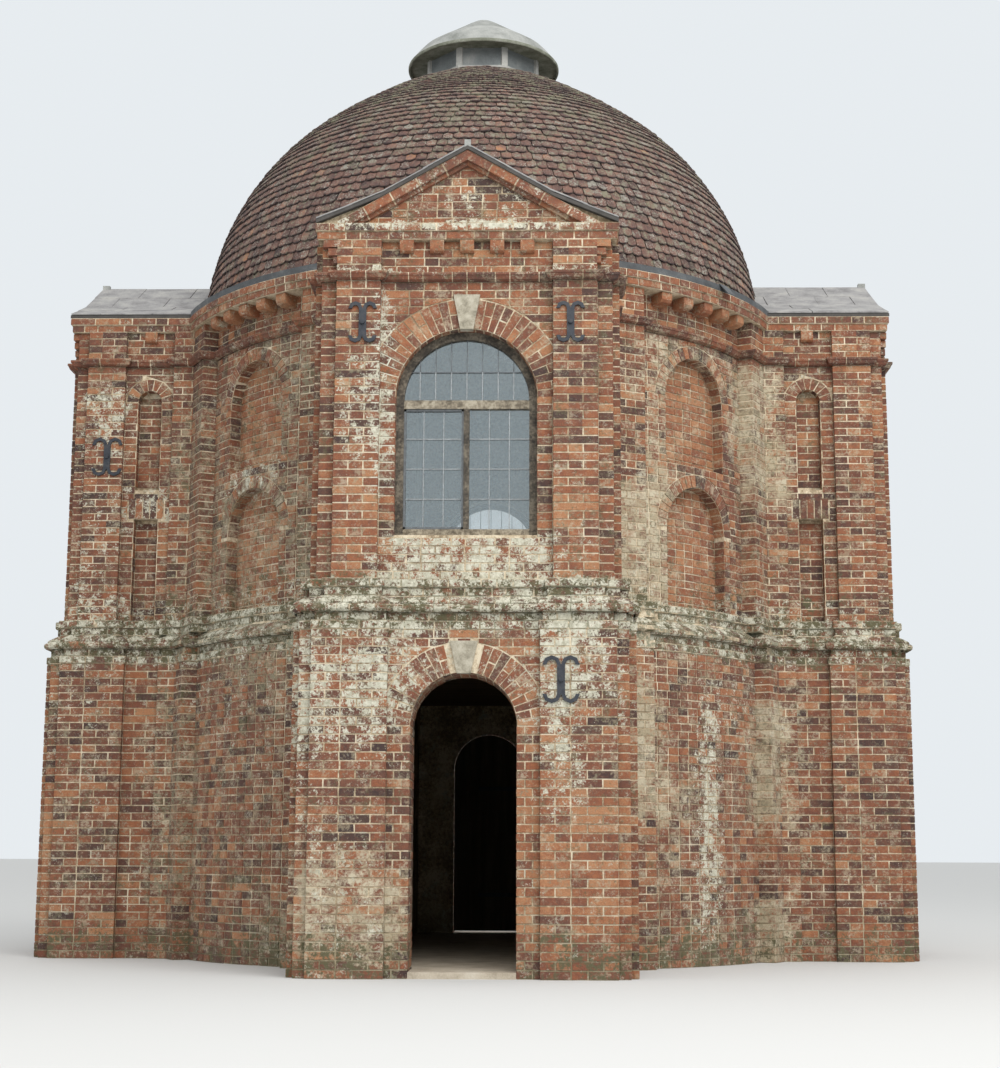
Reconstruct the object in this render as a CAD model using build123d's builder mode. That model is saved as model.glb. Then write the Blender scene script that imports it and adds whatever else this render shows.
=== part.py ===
# A brick garden summerhouse of two storeys, in millimetres.
# A round drum with four short gabled arms carries a tiled dome and a lead lantern.
# The origin is at the middle of the plan on the ground, +Z is up and the front arm points along -Y.
from build123d import *
from math import asin, cos, degrees, radians, sin, sqrt
import os

# Heights, from the ground up
course = 67
ledge_base = 2624
nosing_top = ledge_base + 6 * course
cap_base = nosing_top + 36 * course
frieze_base = cap_base + course
frieze_height = 175
corbel_height = 100
corbel_base = frieze_base + frieze_height
cornice_base = corbel_base + corbel_height
cornice_top = cornice_base + 2 * course

# Plan of the upper storey
arm_reach = 3780
arm_half = 1161
upper_wall = 350
proud = 60
pilaster_width = 348
front_strip = 122
side_strip = 110
neck_reach = 2860
drum_radius = 2800
drum_pilaster_proud = 135
drum_pilaster_width = 280

# A round wall is laid in straight chords, each a little longer than a brick
quadrant_chords = 16
chords = 4 * quadrant_chords

# Plan of the lower storey, which stands out beyond the upper one
lower_step = 105
lower_pier_width = 580
lower_strip = 98
lower_neck_reach = 2890

# String course, as steps outwards from the faces of the storey that each course follows
base_course_step = 10
fascia_step = -20
roll_step = 35
roll_root = 6
roll_shoulder = 20
slope_step = 12
band_step = 45
nosing_step = 65

# Entablature, gable and roof
cap_step = 60
cap_root = 10
ovolo_radius = 45
ovolo_facets = 2
cornice_step = 40
eave_step = 55
cornice_front = 20
corbel_width = 108
corbel_step = 53
corbel_round = 32
drum_corbel_step = 110
corbel_pitch = 242
front_corbels = 5
ridge_height = 6535
raking_foot = 1074
flare_half = 700
roof_thickness = 30
verge_step = 10
raking_cornice = 85
raking_step = 70
raking_fillet = 35
raking_fillet_step = 35
apex_cap_width = 50
apex_cap_length = 70
apex_cap_height = 48

# Doorways, and the blind arches at the ends of the side arms
door_half = 410
door_spring = 1885
blind_depth = 120

# Windows
window_half = 565
window_sill = 3380
window_spring = 4490
frame_width = 65
frame_depth = 70
frame_setback = 100
transom_height = 70
mullion_width = 45
glass_thickness = 6
glass_setback = 30

# Stones at the crowns
keystone_top = 107
keystone_bottom = 53
window_key_rise = 275
door_key_rise = 240
keystone_drop = 10
keystone_proud = 25
keystone_bed = 55

# Niches
niche_depth = 120
drum_niche_half = 390
upper_niche_base = 4298
upper_niche_spring = 4897
lower_niche_spring = 3726
side_niche_half = 112
side_niche_reach = 3090
side_niche_depth = 100
side_niche_base = 4263
side_niche_spring = 5109
side_recess_top = 3989

# Floors
floor_ledge = 80
upper_floor_thickness = 200
ground_floor_thickness = 50

# Dome and gutter
dome_radius = 2780
dome_point = 255
dome_centre_height = 5760
dome_thickness = 250
dome_fullness = 0.97
dome_bands = 11
dome_inner_bands = 5
gutter_radius = 2985
gutter_width = 190
gutter_lip = 60
lead_thickness = 8
chute_turn = 48.5
chute_half = 55
chute_reach = 90
chute_drop = 105

# Lantern
lantern_half = 545
lantern_base = 8690
lantern_height = 240
lantern_wall = 50
lantern_post = 62
lantern_post_proud = 14
lantern_sill = 28
lantern_sill_height = 45
octagon_turn = 22.5
cap_radius = 780
cap_lip = 40
cap_rim_base = 8826
cap_rim_height = 75
cap_shoulder_radius = 700
cap_shoulder_height = 9040
cap_tip_radius = 130
cap_tip_height = 9440
cap_apex = 9480
cap_chords = 40

# Rear door
leaf_clearance = 10
leaf_thickness = 50
leaf_gap = 20
pin_radius = 8
pin_clearance = 0.3
pin_end = 8
knuckle_radius = 15
hinge_offset = 22
hinge_beyond = 15
strap_height = 45
strap_length = 520
strap_thickness = 9
strap_heights = (450, 1650)
pintle_gap = 0.5
pintle_base = 35

# Iron tie plates, by place: across, up, out to the wall's face, and the radius of the hooks
tie_thickness = 22
tie_bar = 30
tie_half_height = 112
tie_bolt = 20
tie_bolt_length = 40
tie_facets = 8
hook_small = 27
hook_large = 41
tie_across = 828
tie_up = 5090
lower_tie_across = 745
lower_tie_up = 2235
arm_tie_across = -3460
arm_tie_up = 4568

# Clearance of pieces that are fitted into others
fit_gap = 0.5

# Values that follow from the sizes above
arm_inner_half = arm_half - upper_wall
arm_inner_reach = arm_reach - upper_wall
drum_inner = drum_radius - upper_wall
pilaster_outer = arm_half - front_strip
pilaster_inner = pilaster_outer - pilaster_width
side_pilaster_outer = arm_reach - side_strip
side_pilaster_inner = side_pilaster_outer - pilaster_width
lower_reach = arm_reach + lower_step
lower_half = arm_half + lower_step
lower_radius = drum_radius + lower_step
lower_pier_outer = lower_half - lower_strip
lower_pier_inner = lower_pier_outer - lower_pier_width
lower_side_outer = lower_reach - lower_strip
lower_side_inner = lower_side_outer - lower_pier_width
eave_half = arm_half + eave_step
verge_reach = arm_reach + eave_step + cornice_front + verge_step
gable_height = ridge_height - cornice_top
gable_slope = gable_height / raking_foot
flare_height = ridge_height - flare_half * gable_slope
window_crown = window_spring + window_half
door_crown = door_spring + door_half
leaf_half = door_half - leaf_clearance
leaf_base = ground_floor_thickness + leaf_gap
hinge_x = -door_half - hinge_beyond
hinge_y = -arm_inner_reach + hinge_offset
cap_soffit = lantern_base + lantern_height
span = 2 * (lower_reach + lower_step)
corbel_offsets = [(number - (front_corbels - 1) / 2) * corbel_pitch for number in range(front_corbels)]

SIDES = {"front": 0, "right": 90, "rear": 180, "left": 270}
QUARTERS = {"front_right": 0, "rear_right": 90, "rear_left": 180, "front_left": 270}


def string_height(courses):
    """Height of a bed in the string course."""
    return ledge_base + courses * course


# Profiles as (height, step outwards), from the bottom up
LOWER_STRING = [
    (string_height(0), base_course_step),
    (string_height(1), base_course_step),
    (string_height(1), fascia_step),
    (string_height(2), fascia_step),
    (string_height(2), roll_root),
    (string_height(2) + roll_shoulder, roll_step),
    (string_height(3) - roll_shoulder, roll_step),
    (string_height(3), roll_root),
    (string_height(3), slope_step),
    (string_height(4), band_step - lower_step),
]
UPPER_STRING = [
    (string_height(4), band_step),
    (string_height(5), band_step),
    (string_height(5), nosing_step),
    (string_height(6), nosing_step),
]
OVOLO_TURNS = [radians(number * 90 / ovolo_facets) for number in range(ovolo_facets + 1)]
CAP = [
    (cap_base + ovolo_radius * (1 - cos(turn)), cap_root + ovolo_radius * sin(turn))
    for turn in OVOLO_TURNS
] + [(cap_base + ovolo_radius, cap_step), (frieze_base, cap_step)]

CAP_RINGS = [
    (cap_radius - cap_lip, cap_rim_base),
    (cap_radius - cap_lip / 4, cap_rim_base + cap_lip / 2),
    (cap_radius, cap_rim_base + cap_rim_height),
    (cap_shoulder_radius, cap_shoulder_height),
    (cap_tip_radius, cap_tip_height),
    (cap_tip_radius / 4, cap_apex),
]
CAP_HOLLOW = [(cap_radius - cap_lip, cap_rim_base), (cap_radius - 2 * cap_lip, cap_soffit)]


def outline(reach, half, pier_in, pier_out, side_in, side_out, neck, grow):
    """Corners of an arm's plan from its right root round the end to its left root."""
    side = half + grow
    side_proud = side + proud
    end = -reach - grow
    end_proud = end - proud
    right = [
        (side_proud, 0),
        (side_proud, -neck - grow),
        (side, -neck - grow),
        (side, -side_in + grow),
        (side_proud, -side_in + grow),
        (side_proud, -side_out - grow),
        (side, -side_out - grow),
        (side, end),
        (pier_out + grow, end),
        (pier_out + grow, end_proud),
        (pier_in - grow, end_proud),
        (pier_in - grow, end),
    ]
    return right + [(-x, y) for x, y in reversed(right)]


def upper_outline(grow=0):
    """Plan of an upper arm with its pilasters."""
    return outline(arm_reach, arm_half, pilaster_inner, pilaster_outer,
                   side_pilaster_inner, side_pilaster_outer, neck_reach, grow)


def lower_outline(grow=0):
    """Plan of a lower arm with its corner piers."""
    return outline(lower_reach, lower_half, lower_pier_inner, lower_pier_outer,
                   lower_side_inner, lower_side_outer, lower_neck_reach, grow)


def plain_outline(grow=0):
    """Plan of an arm as a plain rectangle, for the courses under the roof."""
    side = arm_half + grow
    end = -arm_reach - grow - cornice_front
    return [(side, 0), (side, end), (-side, end), (-side, 0)]


def quadrant(radius):
    """Plan of the drum between the front arm's axis and the right arm's, out to its chords."""
    turns = [radians(number * 90 / quadrant_chords) for number in range(quadrant_chords + 1)]
    return [(0, 0)] + [(radius * sin(turn), -radius * cos(turn)) for turn in turns]


def drum_pilaster(radius, grow, from_right):
    """Plan of one drum pilaster, beside the front arm or beside the right one."""
    reach = radius + drum_pilaster_proud + grow
    half = drum_pilaster_width / 2
    turn = asin((arm_half + proud + half) / (drum_radius + drum_pilaster_proud))
    if from_right:
        turn = radians(90) - turn
    half += grow
    return [
        (across * cos(turn) + out * sin(turn), across * sin(turn) - out * cos(turn))
        for out, across in ((0, half), (reach, half), (reach, -half), (0, -half))
    ]


def layers(plan, levels):
    """A solid whose plan grows or shrinks from level to level, with flat slopes between them."""
    with BuildPart() as solid:
        for (low, start), (high, end) in zip(levels, levels[1:]):
            if low == high:
                continue
            with BuildSketch(Plane.XY.offset(low)):
                with BuildLine():
                    Polyline(*plan(start), close=True)
                make_face()
            if start == end:
                extrude(amount=high - low)
                continue
            with BuildSketch(Plane.XY.offset(high)):
                with BuildLine():
                    Polyline(*plan(end), close=True)
                make_face()
            loft(ruled=True)
    return solid.part


def drum_layers(radius, levels):
    """Layers of a drum quadrant with its two pilasters."""
    with BuildPart() as solid:
        add(layers(lambda grow: quadrant(radius + grow), levels))
        for from_right in (False, True):
            add(layers(lambda grow: drum_pilaster(radius, grow, from_right), levels))
    return solid.part


def room_plan(bottom, ledge=0):
    """Plan of the rooms of two opposite arms and the drum, widened by a ledge."""
    with BuildSketch(Plane.XY.offset(bottom)) as plan:
        Rectangle(2 * (arm_inner_half + ledge), 2 * (arm_inner_reach + ledge))
        RegularPolygon(drum_inner + ledge, chords)
    return plan.sketch


def arch(half, base, spring, plane):
    """An upright opening with a round head."""
    with BuildSketch(plane) as opening:
        with BuildLine():
            Line((half, spring), (half, base))
            Line((half, base), (-half, base))
            Line((-half, base), (-half, spring))
            RadiusArc((-half, spring), (half, spring), half)
        make_face()
    return opening.sketch


def end_plane(reach):
    """The upright plane across the front arm at this reach, looking out of it."""
    return Plane(origin=(0, -reach, 0), x_dir=(1, 0, 0), z_dir=(0, -1, 0))


def keystone_face(crown, rise, plane):
    """The wedge of a keystone."""
    with BuildSketch(plane) as wedge:
        with BuildLine():
            Polyline(
                (keystone_bottom, crown - keystone_drop),
                (keystone_top, crown + rise),
                (-keystone_top, crown + rise),
                (-keystone_bottom, crown - keystone_drop),
                close=True,
            )
        make_face()
    return wedge.sketch


def gable_triangle(drop):
    """The triangle of the gable's straight slopes, lowered by this much, on top of the cornice."""
    foot = raking_foot - drop / gable_slope
    with BuildSketch() as face:
        with BuildLine():
            Polyline((-foot, cornice_top), (foot, cornice_top), (0, ridge_height - drop), close=True)
        make_face()
    return face.sketch


def gable_line(rise):
    """The roof's line over an arm from eave to eave, flared at its feet, raised by this much."""
    return [
        (-eave_half, cornice_top + rise),
        (-flare_half, flare_height + rise),
        (0, ridge_height + rise),
        (flare_half, flare_height + rise),
        (eave_half, cornice_top + rise),
    ]


def dome_curve(shrink, base, bands):
    """Radius and height up the dome's curve to above the lantern's base, moved inwards by a thickness."""
    radius = dome_radius + dome_point - shrink
    start = asin((base - dome_centre_height) / radius)
    end = start + (asin(sqrt(radius**2 - dome_point**2) / radius) - start) * dome_fullness
    turns = [start + (end - start) * number / bands for number in range(bands + 1)]
    return [(radius * cos(turn) - dome_point, dome_centre_height + radius * sin(turn)) for turn in turns]


def turned_body(profile, sides):
    """A round body with flat facets, from the radius and height of each ring of its profile."""
    with BuildPart() as solid:
        for radius, height in profile:
            with BuildSketch(Plane.XY.offset(height)):
                RegularPolygon(radius, sides)
        loft(ruled=True)
    return solid.part


def dome_body(shrink, bands):
    """The dome as a solid that stands on the cornice."""
    return turned_body(dome_curve(shrink, cornice_top, bands), chords)


def octagon(half):
    """An octagon with one side to the front."""
    return RegularPolygon(half, 8, major_radius=False, rotation=octagon_turn, mode=Mode.PRIVATE)


def tie_face(plane, hook):
    """Outline of a tie plate: two bars back to back, their ends hooked outwards."""
    ring = hook + tie_bar
    with BuildSketch(plane) as face:
        for flip in (1, -1):
            for end in (1, -1):
                with Locations((flip * ring, end * tie_half_height)):
                    RegularPolygon(ring, tie_facets)
                    RegularPolygon(hook, tie_facets, mode=Mode.SUBTRACT)
                    inward = Align.MAX if end > 0 else Align.MIN
                    Rectangle(2 * ring, ring, align=(Align.CENTER, inward), mode=Mode.SUBTRACT)
        Rectangle(2 * tie_bar, 2 * tie_half_height)
    return face.sketch


def write(piece, name):
    """Label one finished sub-part and write it."""
    piece.label = name
    export_step(piece, f"parts/{name}.step")


def write_turned(piece, turns, suffix):
    """Write a sub-part again at each of its places round the building."""
    for place, turn in turns.items():
        with BuildPart() as turned:
            add(piece, rotation=(0, 0, turn))
        write(turned.part, f"{place}_{suffix}")


os.makedirs("parts", exist_ok=True)

# Lower storey of an arm: two piers with the side walls, and the arched head between them
with BuildPart() as lower_walls:
    add(layers(lower_outline, [(0, 0), (ledge_base, 0)]))
    extrude(room_plan(0), amount=ledge_base, mode=Mode.SUBTRACT)

with BuildPart() as door_cut:
    extrude(arch(door_half, 0, door_spring, end_plane(arm_half)), amount=span)

with BuildPart() as door_key_cut:
    extrude(
        keystone_face(door_crown, door_key_rise, end_plane(lower_reach - keystone_bed)),
        amount=upper_wall,
    )

with BuildPart() as door_head:
    add(lower_walls.part)
    with BuildSketch(end_plane(arm_half)):
        with Locations((0, door_spring)):
            Rectangle(2 * lower_pier_inner, ledge_base - door_spring, align=(Align.CENTER, Align.MIN))
    extrude(amount=span, mode=Mode.INTERSECT)
    add(door_cut.part, mode=Mode.SUBTRACT)
    add(door_key_cut.part, mode=Mode.SUBTRACT)

with BuildPart() as right_pier:
    add(lower_walls.part)
    with BuildSketch(end_plane(0)):
        Rectangle(span, 2 * span, align=(Align.MIN, Align.CENTER))
        Rectangle(2 * door_half, 2 * span, mode=Mode.SUBTRACT)
        with Locations((0, door_spring)):
            Rectangle(2 * lower_pier_inner, span, align=(Align.CENTER, Align.MIN), mode=Mode.SUBTRACT)
    extrude(amount=span, mode=Mode.INTERSECT)

with BuildPart() as left_pier:
    mirror(right_pier.part, about=Plane.YZ)

for side in ("front", "rear"):
    turned_side = {side: SIDES[side]}
    write_turned(left_pier.part, turned_side, "left_pier")
    write_turned(right_pier.part, turned_side, "right_pier")
    write_turned(door_head.part, turned_side, "door_head")

# The side arms have a blind arch of the doorway's size
with BuildPart() as blind_walls:
    add(lower_walls.part)
    extrude(
        arch(door_half, ground_floor_thickness, door_spring, end_plane(lower_reach - blind_depth)),
        amount=upper_wall,
        mode=Mode.SUBTRACT,
    )
    add(door_key_cut.part, mode=Mode.SUBTRACT)
write_turned(blind_walls.part, {"right": SIDES["right"], "left": SIDES["left"]}, "lower_wall")

# String course of an arm, over the ledge that carries the upper floor
with BuildPart() as arm_string_mass:
    add(layers(lower_outline, LOWER_STRING))
    add(layers(upper_outline, UPPER_STRING))

with BuildPart() as room_cut:
    extrude(room_plan(0), amount=cornice_top, mode=Mode.ADD)
    extrude(room_plan(ledge_base, floor_ledge), amount=upper_floor_thickness)

with BuildPart() as arm_string:
    add(arm_string_mass.part)
    add(room_cut.part, mode=Mode.SUBTRACT)
write_turned(arm_string.part, SIDES, "string_course")

# Lower drum wall of a quadrant with its string course, between the front arm and the right one
with BuildPart() as lower_drum:
    add(drum_layers(lower_radius, [(0, 0), (ledge_base, 0)] + LOWER_STRING))
    add(drum_layers(drum_radius, UPPER_STRING))
    add(room_cut.part, mode=Mode.SUBTRACT)
    for turn in (0, 90):
        add(layers(lower_outline, [(0, 0), (ledge_base, 0)]), rotation=(0, 0, turn), mode=Mode.SUBTRACT)
        add(arm_string_mass.part, rotation=(0, 0, turn), mode=Mode.SUBTRACT)
write_turned(lower_drum.part, QUARTERS, "lower_drum")

# Upper walls of an arm with the window and the niches of its sides
with BuildPart() as arm_upper:
    add(layers(upper_outline, [(nosing_top, 0), (cap_base, 0)]))
    add(room_cut.part, mode=Mode.SUBTRACT)
    extrude(
        arch(window_half, window_sill, window_spring, end_plane(arm_half)),
        amount=span,
        mode=Mode.SUBTRACT,
    )
    extrude(
        keystone_face(window_crown, window_key_rise, end_plane(arm_reach - keystone_bed)),
        amount=upper_wall,
        mode=Mode.SUBTRACT,
    )
    for flip in (1, -1):
        niche_plane = Plane(
            origin=(flip * (arm_half - side_niche_depth), -side_niche_reach, 0),
            x_dir=(0, flip, 0),
            z_dir=(flip, 0, 0),
        )
        extrude(
            arch(side_niche_half, side_niche_base, side_niche_spring, niche_plane),
            amount=upper_wall,
            mode=Mode.SUBTRACT,
        )
        with BuildSketch(niche_plane):
            with Locations((0, nosing_top)):
                Rectangle(2 * side_niche_half, side_recess_top - nosing_top, align=(Align.CENTER, Align.MIN))
        extrude(amount=upper_wall, mode=Mode.SUBTRACT)
write_turned(arm_upper.part, SIDES, "upper_wall")

# Upper drum wall of a quadrant with its two niches
diagonal = Plane(origin=(0, 0, 0), x_dir=(1, 1, 0), z_dir=(1, -1, 0))
with BuildPart() as niche_cut:
    extrude(arch(drum_niche_half, upper_niche_base, upper_niche_spring, diagonal), amount=span)
    extrude(arch(drum_niche_half, nosing_top, lower_niche_spring, diagonal), amount=span)
    with BuildSketch(Plane.XY.offset(nosing_top)):
        RegularPolygon(drum_radius - niche_depth, chords)
    extrude(amount=cap_base - nosing_top, mode=Mode.SUBTRACT)

with BuildPart() as upper_drum:
    add(drum_layers(drum_radius, [(nosing_top, 0), (cap_base, 0)]))
    add(room_cut.part, mode=Mode.SUBTRACT)
    for turn in (0, 90):
        add(
            layers(upper_outline, [(nosing_top, 0), (cap_base, 0)]),
            rotation=(0, 0, turn),
            mode=Mode.SUBTRACT,
        )
    add(niche_cut.part, mode=Mode.SUBTRACT)
write_turned(upper_drum.part, QUARTERS, "upper_drum")

# Corbels, rounded off below, for an arm's end, its two sides and a drum quadrant
with BuildPart() as corbel:
    with BuildSketch(Plane.XY.offset(corbel_base)):
        Rectangle(corbel_width, 2 * drum_corbel_step)
    extrude(amount=corbel_height)
    chamfer(corbel.faces().sort_by(Axis.Z)[0].edges().sort_by(Axis.Y)[0], corbel_round)


def add_corbel(reach, turn, step, across=0):
    """Put a corbel on a wall face that looks this way, standing out from it by a step."""
    out = drum_corbel_step - step - reach
    place = Location((0, 0, 0), (0, 0, turn)) * Location((across, out, 0))
    add(place * corbel.part)


# Entablature of an arm: cap moulding, frieze, corbels, two cornice courses and the gable
CORNICE = [
    (cornice_base, cornice_step),
    (cornice_base + course, cornice_step),
    (cornice_base + course, eave_step),
    (cornice_top, eave_step),
]
with BuildPart() as arm_cornice_mass:
    add(layers(upper_outline, CAP + [(frieze_base, 0), (cornice_base, 0)]))
    add(layers(plain_outline, CORNICE))

with BuildPart() as arm_entablature:
    add(arm_cornice_mass.part)
    for offset_x in corbel_offsets:
        add_corbel(arm_reach, 0, corbel_step, offset_x)
    for turn in (90, -90):
        add_corbel(arm_half, turn, corbel_step, -side_niche_reach if turn > 0 else side_niche_reach)
    add(room_cut.part, mode=Mode.SUBTRACT)
    with BuildSketch(end_plane(arm_inner_reach)):
        with BuildLine():
            Polyline(*gable_line(0), close=True)
        make_face()
    extrude(amount=upper_wall)
    with BuildSketch(end_plane(arm_reach)):
        with BuildLine():
            Polyline(*gable_line(0), close=True)
        make_face()
        add(gable_triangle(raking_cornice + raking_fillet), mode=Mode.SUBTRACT)
    extrude(amount=raking_fillet_step)
    with BuildSketch(end_plane(arm_reach)):
        add(gable_triangle(0))
        add(gable_triangle(raking_cornice), mode=Mode.SUBTRACT)
    extrude(amount=raking_step)
write_turned(arm_entablature.part, SIDES, "entablature")

# Cornice of a drum quadrant, with radial corbels
corbel_turn = degrees(corbel_pitch / drum_radius)
with BuildPart() as drum_cornice:
    add(drum_layers(drum_radius, CAP + [(frieze_base, 0), (cornice_base, 0)]))
    add(layers(lambda grow: quadrant(drum_radius + drum_pilaster_proud + grow), CORNICE))
    for number in range(front_corbels):
        turn = 45 + (number - (front_corbels - 1) / 2) * corbel_turn
        add_corbel(drum_radius, turn, drum_corbel_step)
    add(room_cut.part, mode=Mode.SUBTRACT)
    for turn in (0, 90):
        add(arm_cornice_mass.part, rotation=(0, 0, turn), mode=Mode.SUBTRACT)
write_turned(drum_cornice.part, QUARTERS, "drum_cornice")

# Dome shell with an opening under the lantern
with BuildPart() as dome:
    add(dome_body(0, dome_bands))
    add(dome_body(dome_thickness, dome_inner_bands), mode=Mode.SUBTRACT)
    with BuildSketch(Plane.XY.offset(cornice_top)):
        Circle(lantern_half - lantern_wall)
    extrude(amount=lantern_base, mode=Mode.SUBTRACT)
    with BuildSketch(Plane.XY.offset(lantern_base)):
        Circle(dome_radius)
    extrude(amount=dome_radius, mode=Mode.SUBTRACT)
write(dome.part, "dome")

# Roof of an arm, which meets the dome
with BuildPart() as arm_roof:
    with BuildSketch(end_plane(0)):
        with BuildLine():
            Polyline(*gable_line(0), *reversed(gable_line(roof_thickness)), close=True)
        make_face()
    extrude(amount=verge_reach)
    add(dome_body(-fit_gap, dome_bands), mode=Mode.SUBTRACT)
write_turned(arm_roof.part, SIDES, "roof")

# Small lead caps over the ends of the four ridges
with BuildPart() as apex_caps:
    for turn in SIDES.values():
        with BuildSketch(Plane.XZ.rotated((0, 0, turn))) as cap_end:
            with BuildLine():
                half = apex_cap_width / 2
                ridge = ridge_height + roof_thickness
                Polyline(
                    (-half, ridge - half * gable_slope),
                    (0, ridge),
                    (half, ridge - half * gable_slope),
                    (half, ridge + apex_cap_height),
                    (-half, ridge + apex_cap_height),
                    close=True,
                )
            make_face()
        extrude(cap_end.sketch.moved(Location(Vector(0, -verge_reach, 0).rotate(Axis.Z, turn))),
                amount=-apex_cap_length)
write(apex_caps.part, "apex_caps")

# Lead gutter round the foot of the dome, between the arm roofs, with one chute over its edge
with BuildPart() as gutters:
    with BuildSketch(Plane.XY.offset(cornice_top)):
        RegularPolygon(gutter_radius, chords)
        RegularPolygon(gutter_radius - gutter_width, chords, mode=Mode.SUBTRACT)
    extrude(amount=lead_thickness)
    with BuildSketch(Plane.XY.offset(cornice_top)):
        RegularPolygon(gutter_radius, chords)
        RegularPolygon(gutter_radius - lead_thickness, chords, mode=Mode.SUBTRACT)
        RegularPolygon(gutter_radius - gutter_width + lead_thickness, chords)
        RegularPolygon(gutter_radius - gutter_width, chords, mode=Mode.SUBTRACT)
    extrude(amount=gutter_lip)
    with BuildSketch(Plane.XY.offset(cornice_top)):
        Rectangle(2 * eave_half, span)
        Rectangle(span, 2 * eave_half)
    extrude(amount=span, mode=Mode.SUBTRACT)
    with BuildPart(mode=Mode.PRIVATE) as chute:
        with BuildSketch(Plane.YZ):
            lip = cornice_top + gutter_lip
            with BuildLine():
                Polyline(
                    (-gutter_radius + lead_thickness, lip),
                    (-gutter_radius + lead_thickness, lip + lead_thickness),
                    (-gutter_radius, lip + lead_thickness),
                    (-gutter_radius - chute_reach, lip + lead_thickness - chute_drop),
                    (-gutter_radius - chute_reach, lip - chute_drop),
                    (-gutter_radius, lip),
                    close=True,
                )
            make_face()
        extrude(amount=chute_half, both=True)
    add(chute.part, rotation=(0, 0, chute_turn))
write(gutters.part, "gutter")

# Lantern: an octagonal box of lead panels between posts on a sill, under a round lead cap
with BuildPart() as lantern:
    with BuildSketch(Plane.XY.offset(lantern_base)):
        add(octagon(lantern_half))
        post_reach = lantern_half / cos(radians(octagon_turn)) + lantern_post_proud - lantern_post / 2
        with PolarLocations(post_reach, 8, start_angle=octagon_turn):
            Rectangle(lantern_post, lantern_post)
        add(octagon(lantern_half - lantern_wall), mode=Mode.SUBTRACT)
    extrude(amount=lantern_height)
    with BuildSketch(Plane.XY.offset(lantern_base)):
        add(octagon(lantern_half + lantern_sill))
        add(octagon(lantern_half - lantern_wall), mode=Mode.SUBTRACT)
    extrude(amount=lantern_sill_height)
write(lantern.part, "lantern")

with BuildPart() as lantern_cap:
    add(turned_body(CAP_RINGS, cap_chords))
    add(turned_body(CAP_HOLLOW, cap_chords), mode=Mode.SUBTRACT)
write(lantern_cap.part, "lantern_cap")

# Keystones over the windows and the lower arches
with BuildPart() as keystones:
    extrude(
        keystone_face(door_crown, door_key_rise, end_plane(lower_reach - keystone_bed)),
        amount=keystone_bed + keystone_proud,
    )
    extrude(
        keystone_face(window_crown, window_key_rise, end_plane(arm_reach - keystone_bed)),
        amount=keystone_bed + keystone_proud,
    )
with BuildPart() as all_keystones:
    for turn in SIDES.values():
        add(keystones.part, rotation=(0, 0, turn))
write(all_keystones.part, "keystones")

# Window frames with a transom and one mullion
frame_plane = end_plane(arm_reach - frame_setback - frame_depth)
light_half = window_half - fit_gap - frame_width
light_base = window_sill + frame_width
transom_base = window_spring - transom_height

with BuildPart() as frame_bars:
    with BuildSketch(frame_plane):
        with Locations((0, transom_base)):
            Rectangle(2 * light_half, transom_height, align=(Align.CENTER, Align.MIN))
        with Locations((0, light_base)):
            Rectangle(mullion_width, transom_base - light_base, align=(Align.CENTER, Align.MIN))
    extrude(amount=frame_depth)

with BuildPart() as frame:
    extrude(arch(window_half - fit_gap, window_sill, window_spring, frame_plane), amount=frame_depth)
    extrude(
        arch(light_half, light_base, window_spring, frame_plane),
        amount=frame_depth,
        mode=Mode.SUBTRACT,
    )
    add(frame_bars.part)
with BuildPart() as window_frames:
    for turn in SIDES.values():
        add(frame.part, rotation=(0, 0, turn))
write(window_frames.part, "window_frames")

# Glass, in three lights a window
with BuildPart() as panes:
    glass_plane = end_plane(arm_reach - frame_setback - glass_setback - glass_thickness)
    extrude(arch(light_half, light_base, window_spring, glass_plane), amount=glass_thickness)
    add(frame_bars.part, mode=Mode.SUBTRACT)
with BuildPart() as window_glass:
    for turn in SIDES.values():
        add(panes.part, rotation=(0, 0, turn))
write(window_glass.part, "window_glass")

# Rear door, modelled in the front doorway and turned round
with BuildPart() as leaf:
    extrude(arch(leaf_half, leaf_base, door_spring, end_plane(arm_inner_reach)), amount=leaf_thickness)

with BuildPart() as straps:
    for height in strap_heights:
        with BuildSketch(Plane.XY.offset(height)):
            with Locations((-leaf_half, -arm_inner_reach)):
                Rectangle(strap_length, strap_thickness, align=(Align.MIN, Align.MIN))
            with Locations((hinge_x, hinge_y - knuckle_radius)):
                Rectangle(-leaf_half - hinge_x + strap_thickness, strap_thickness, align=(Align.MIN, Align.MIN))
            with Locations((hinge_x, hinge_y)):
                Circle(knuckle_radius)
                Circle(pin_radius + pin_clearance, mode=Mode.SUBTRACT)
        extrude(amount=strap_height)

with BuildPart() as pintles:
    for height in strap_heights:
        with BuildSketch(Plane.XY.offset(height - pintle_base)):
            with Locations((hinge_x, hinge_y)):
                Circle(knuckle_radius)
                Rectangle(2 * knuckle_radius, hinge_offset, align=(Align.CENTER, Align.MAX))
        extrude(amount=pintle_base - pintle_gap)
        with BuildSketch(Plane.XY.offset(height - pintle_base)):
            with Locations((hinge_x, hinge_y)):
                Circle(pin_radius)
        extrude(amount=pintle_base + strap_height + pin_end)

write_turned(leaf.part, {"rear": SIDES["rear"]}, "door")
write_turned(straps.part, {"rear": SIDES["rear"]}, "door_straps")
write_turned(pintles.part, {"rear": SIDES["rear"]}, "door_pintles")

# Floors
with BuildPart() as ground_floor:
    with BuildSketch():
        RegularPolygon(drum_inner - fit_gap, chords)
        Rectangle(2 * arm_inner_half, 2 * arm_inner_reach)
        Rectangle(2 * arm_inner_reach, 2 * arm_inner_half)
        Rectangle(2 * door_half, 2 * lower_reach)
    extrude(amount=ground_floor_thickness)
write(ground_floor.part, "ground_floor")

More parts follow.
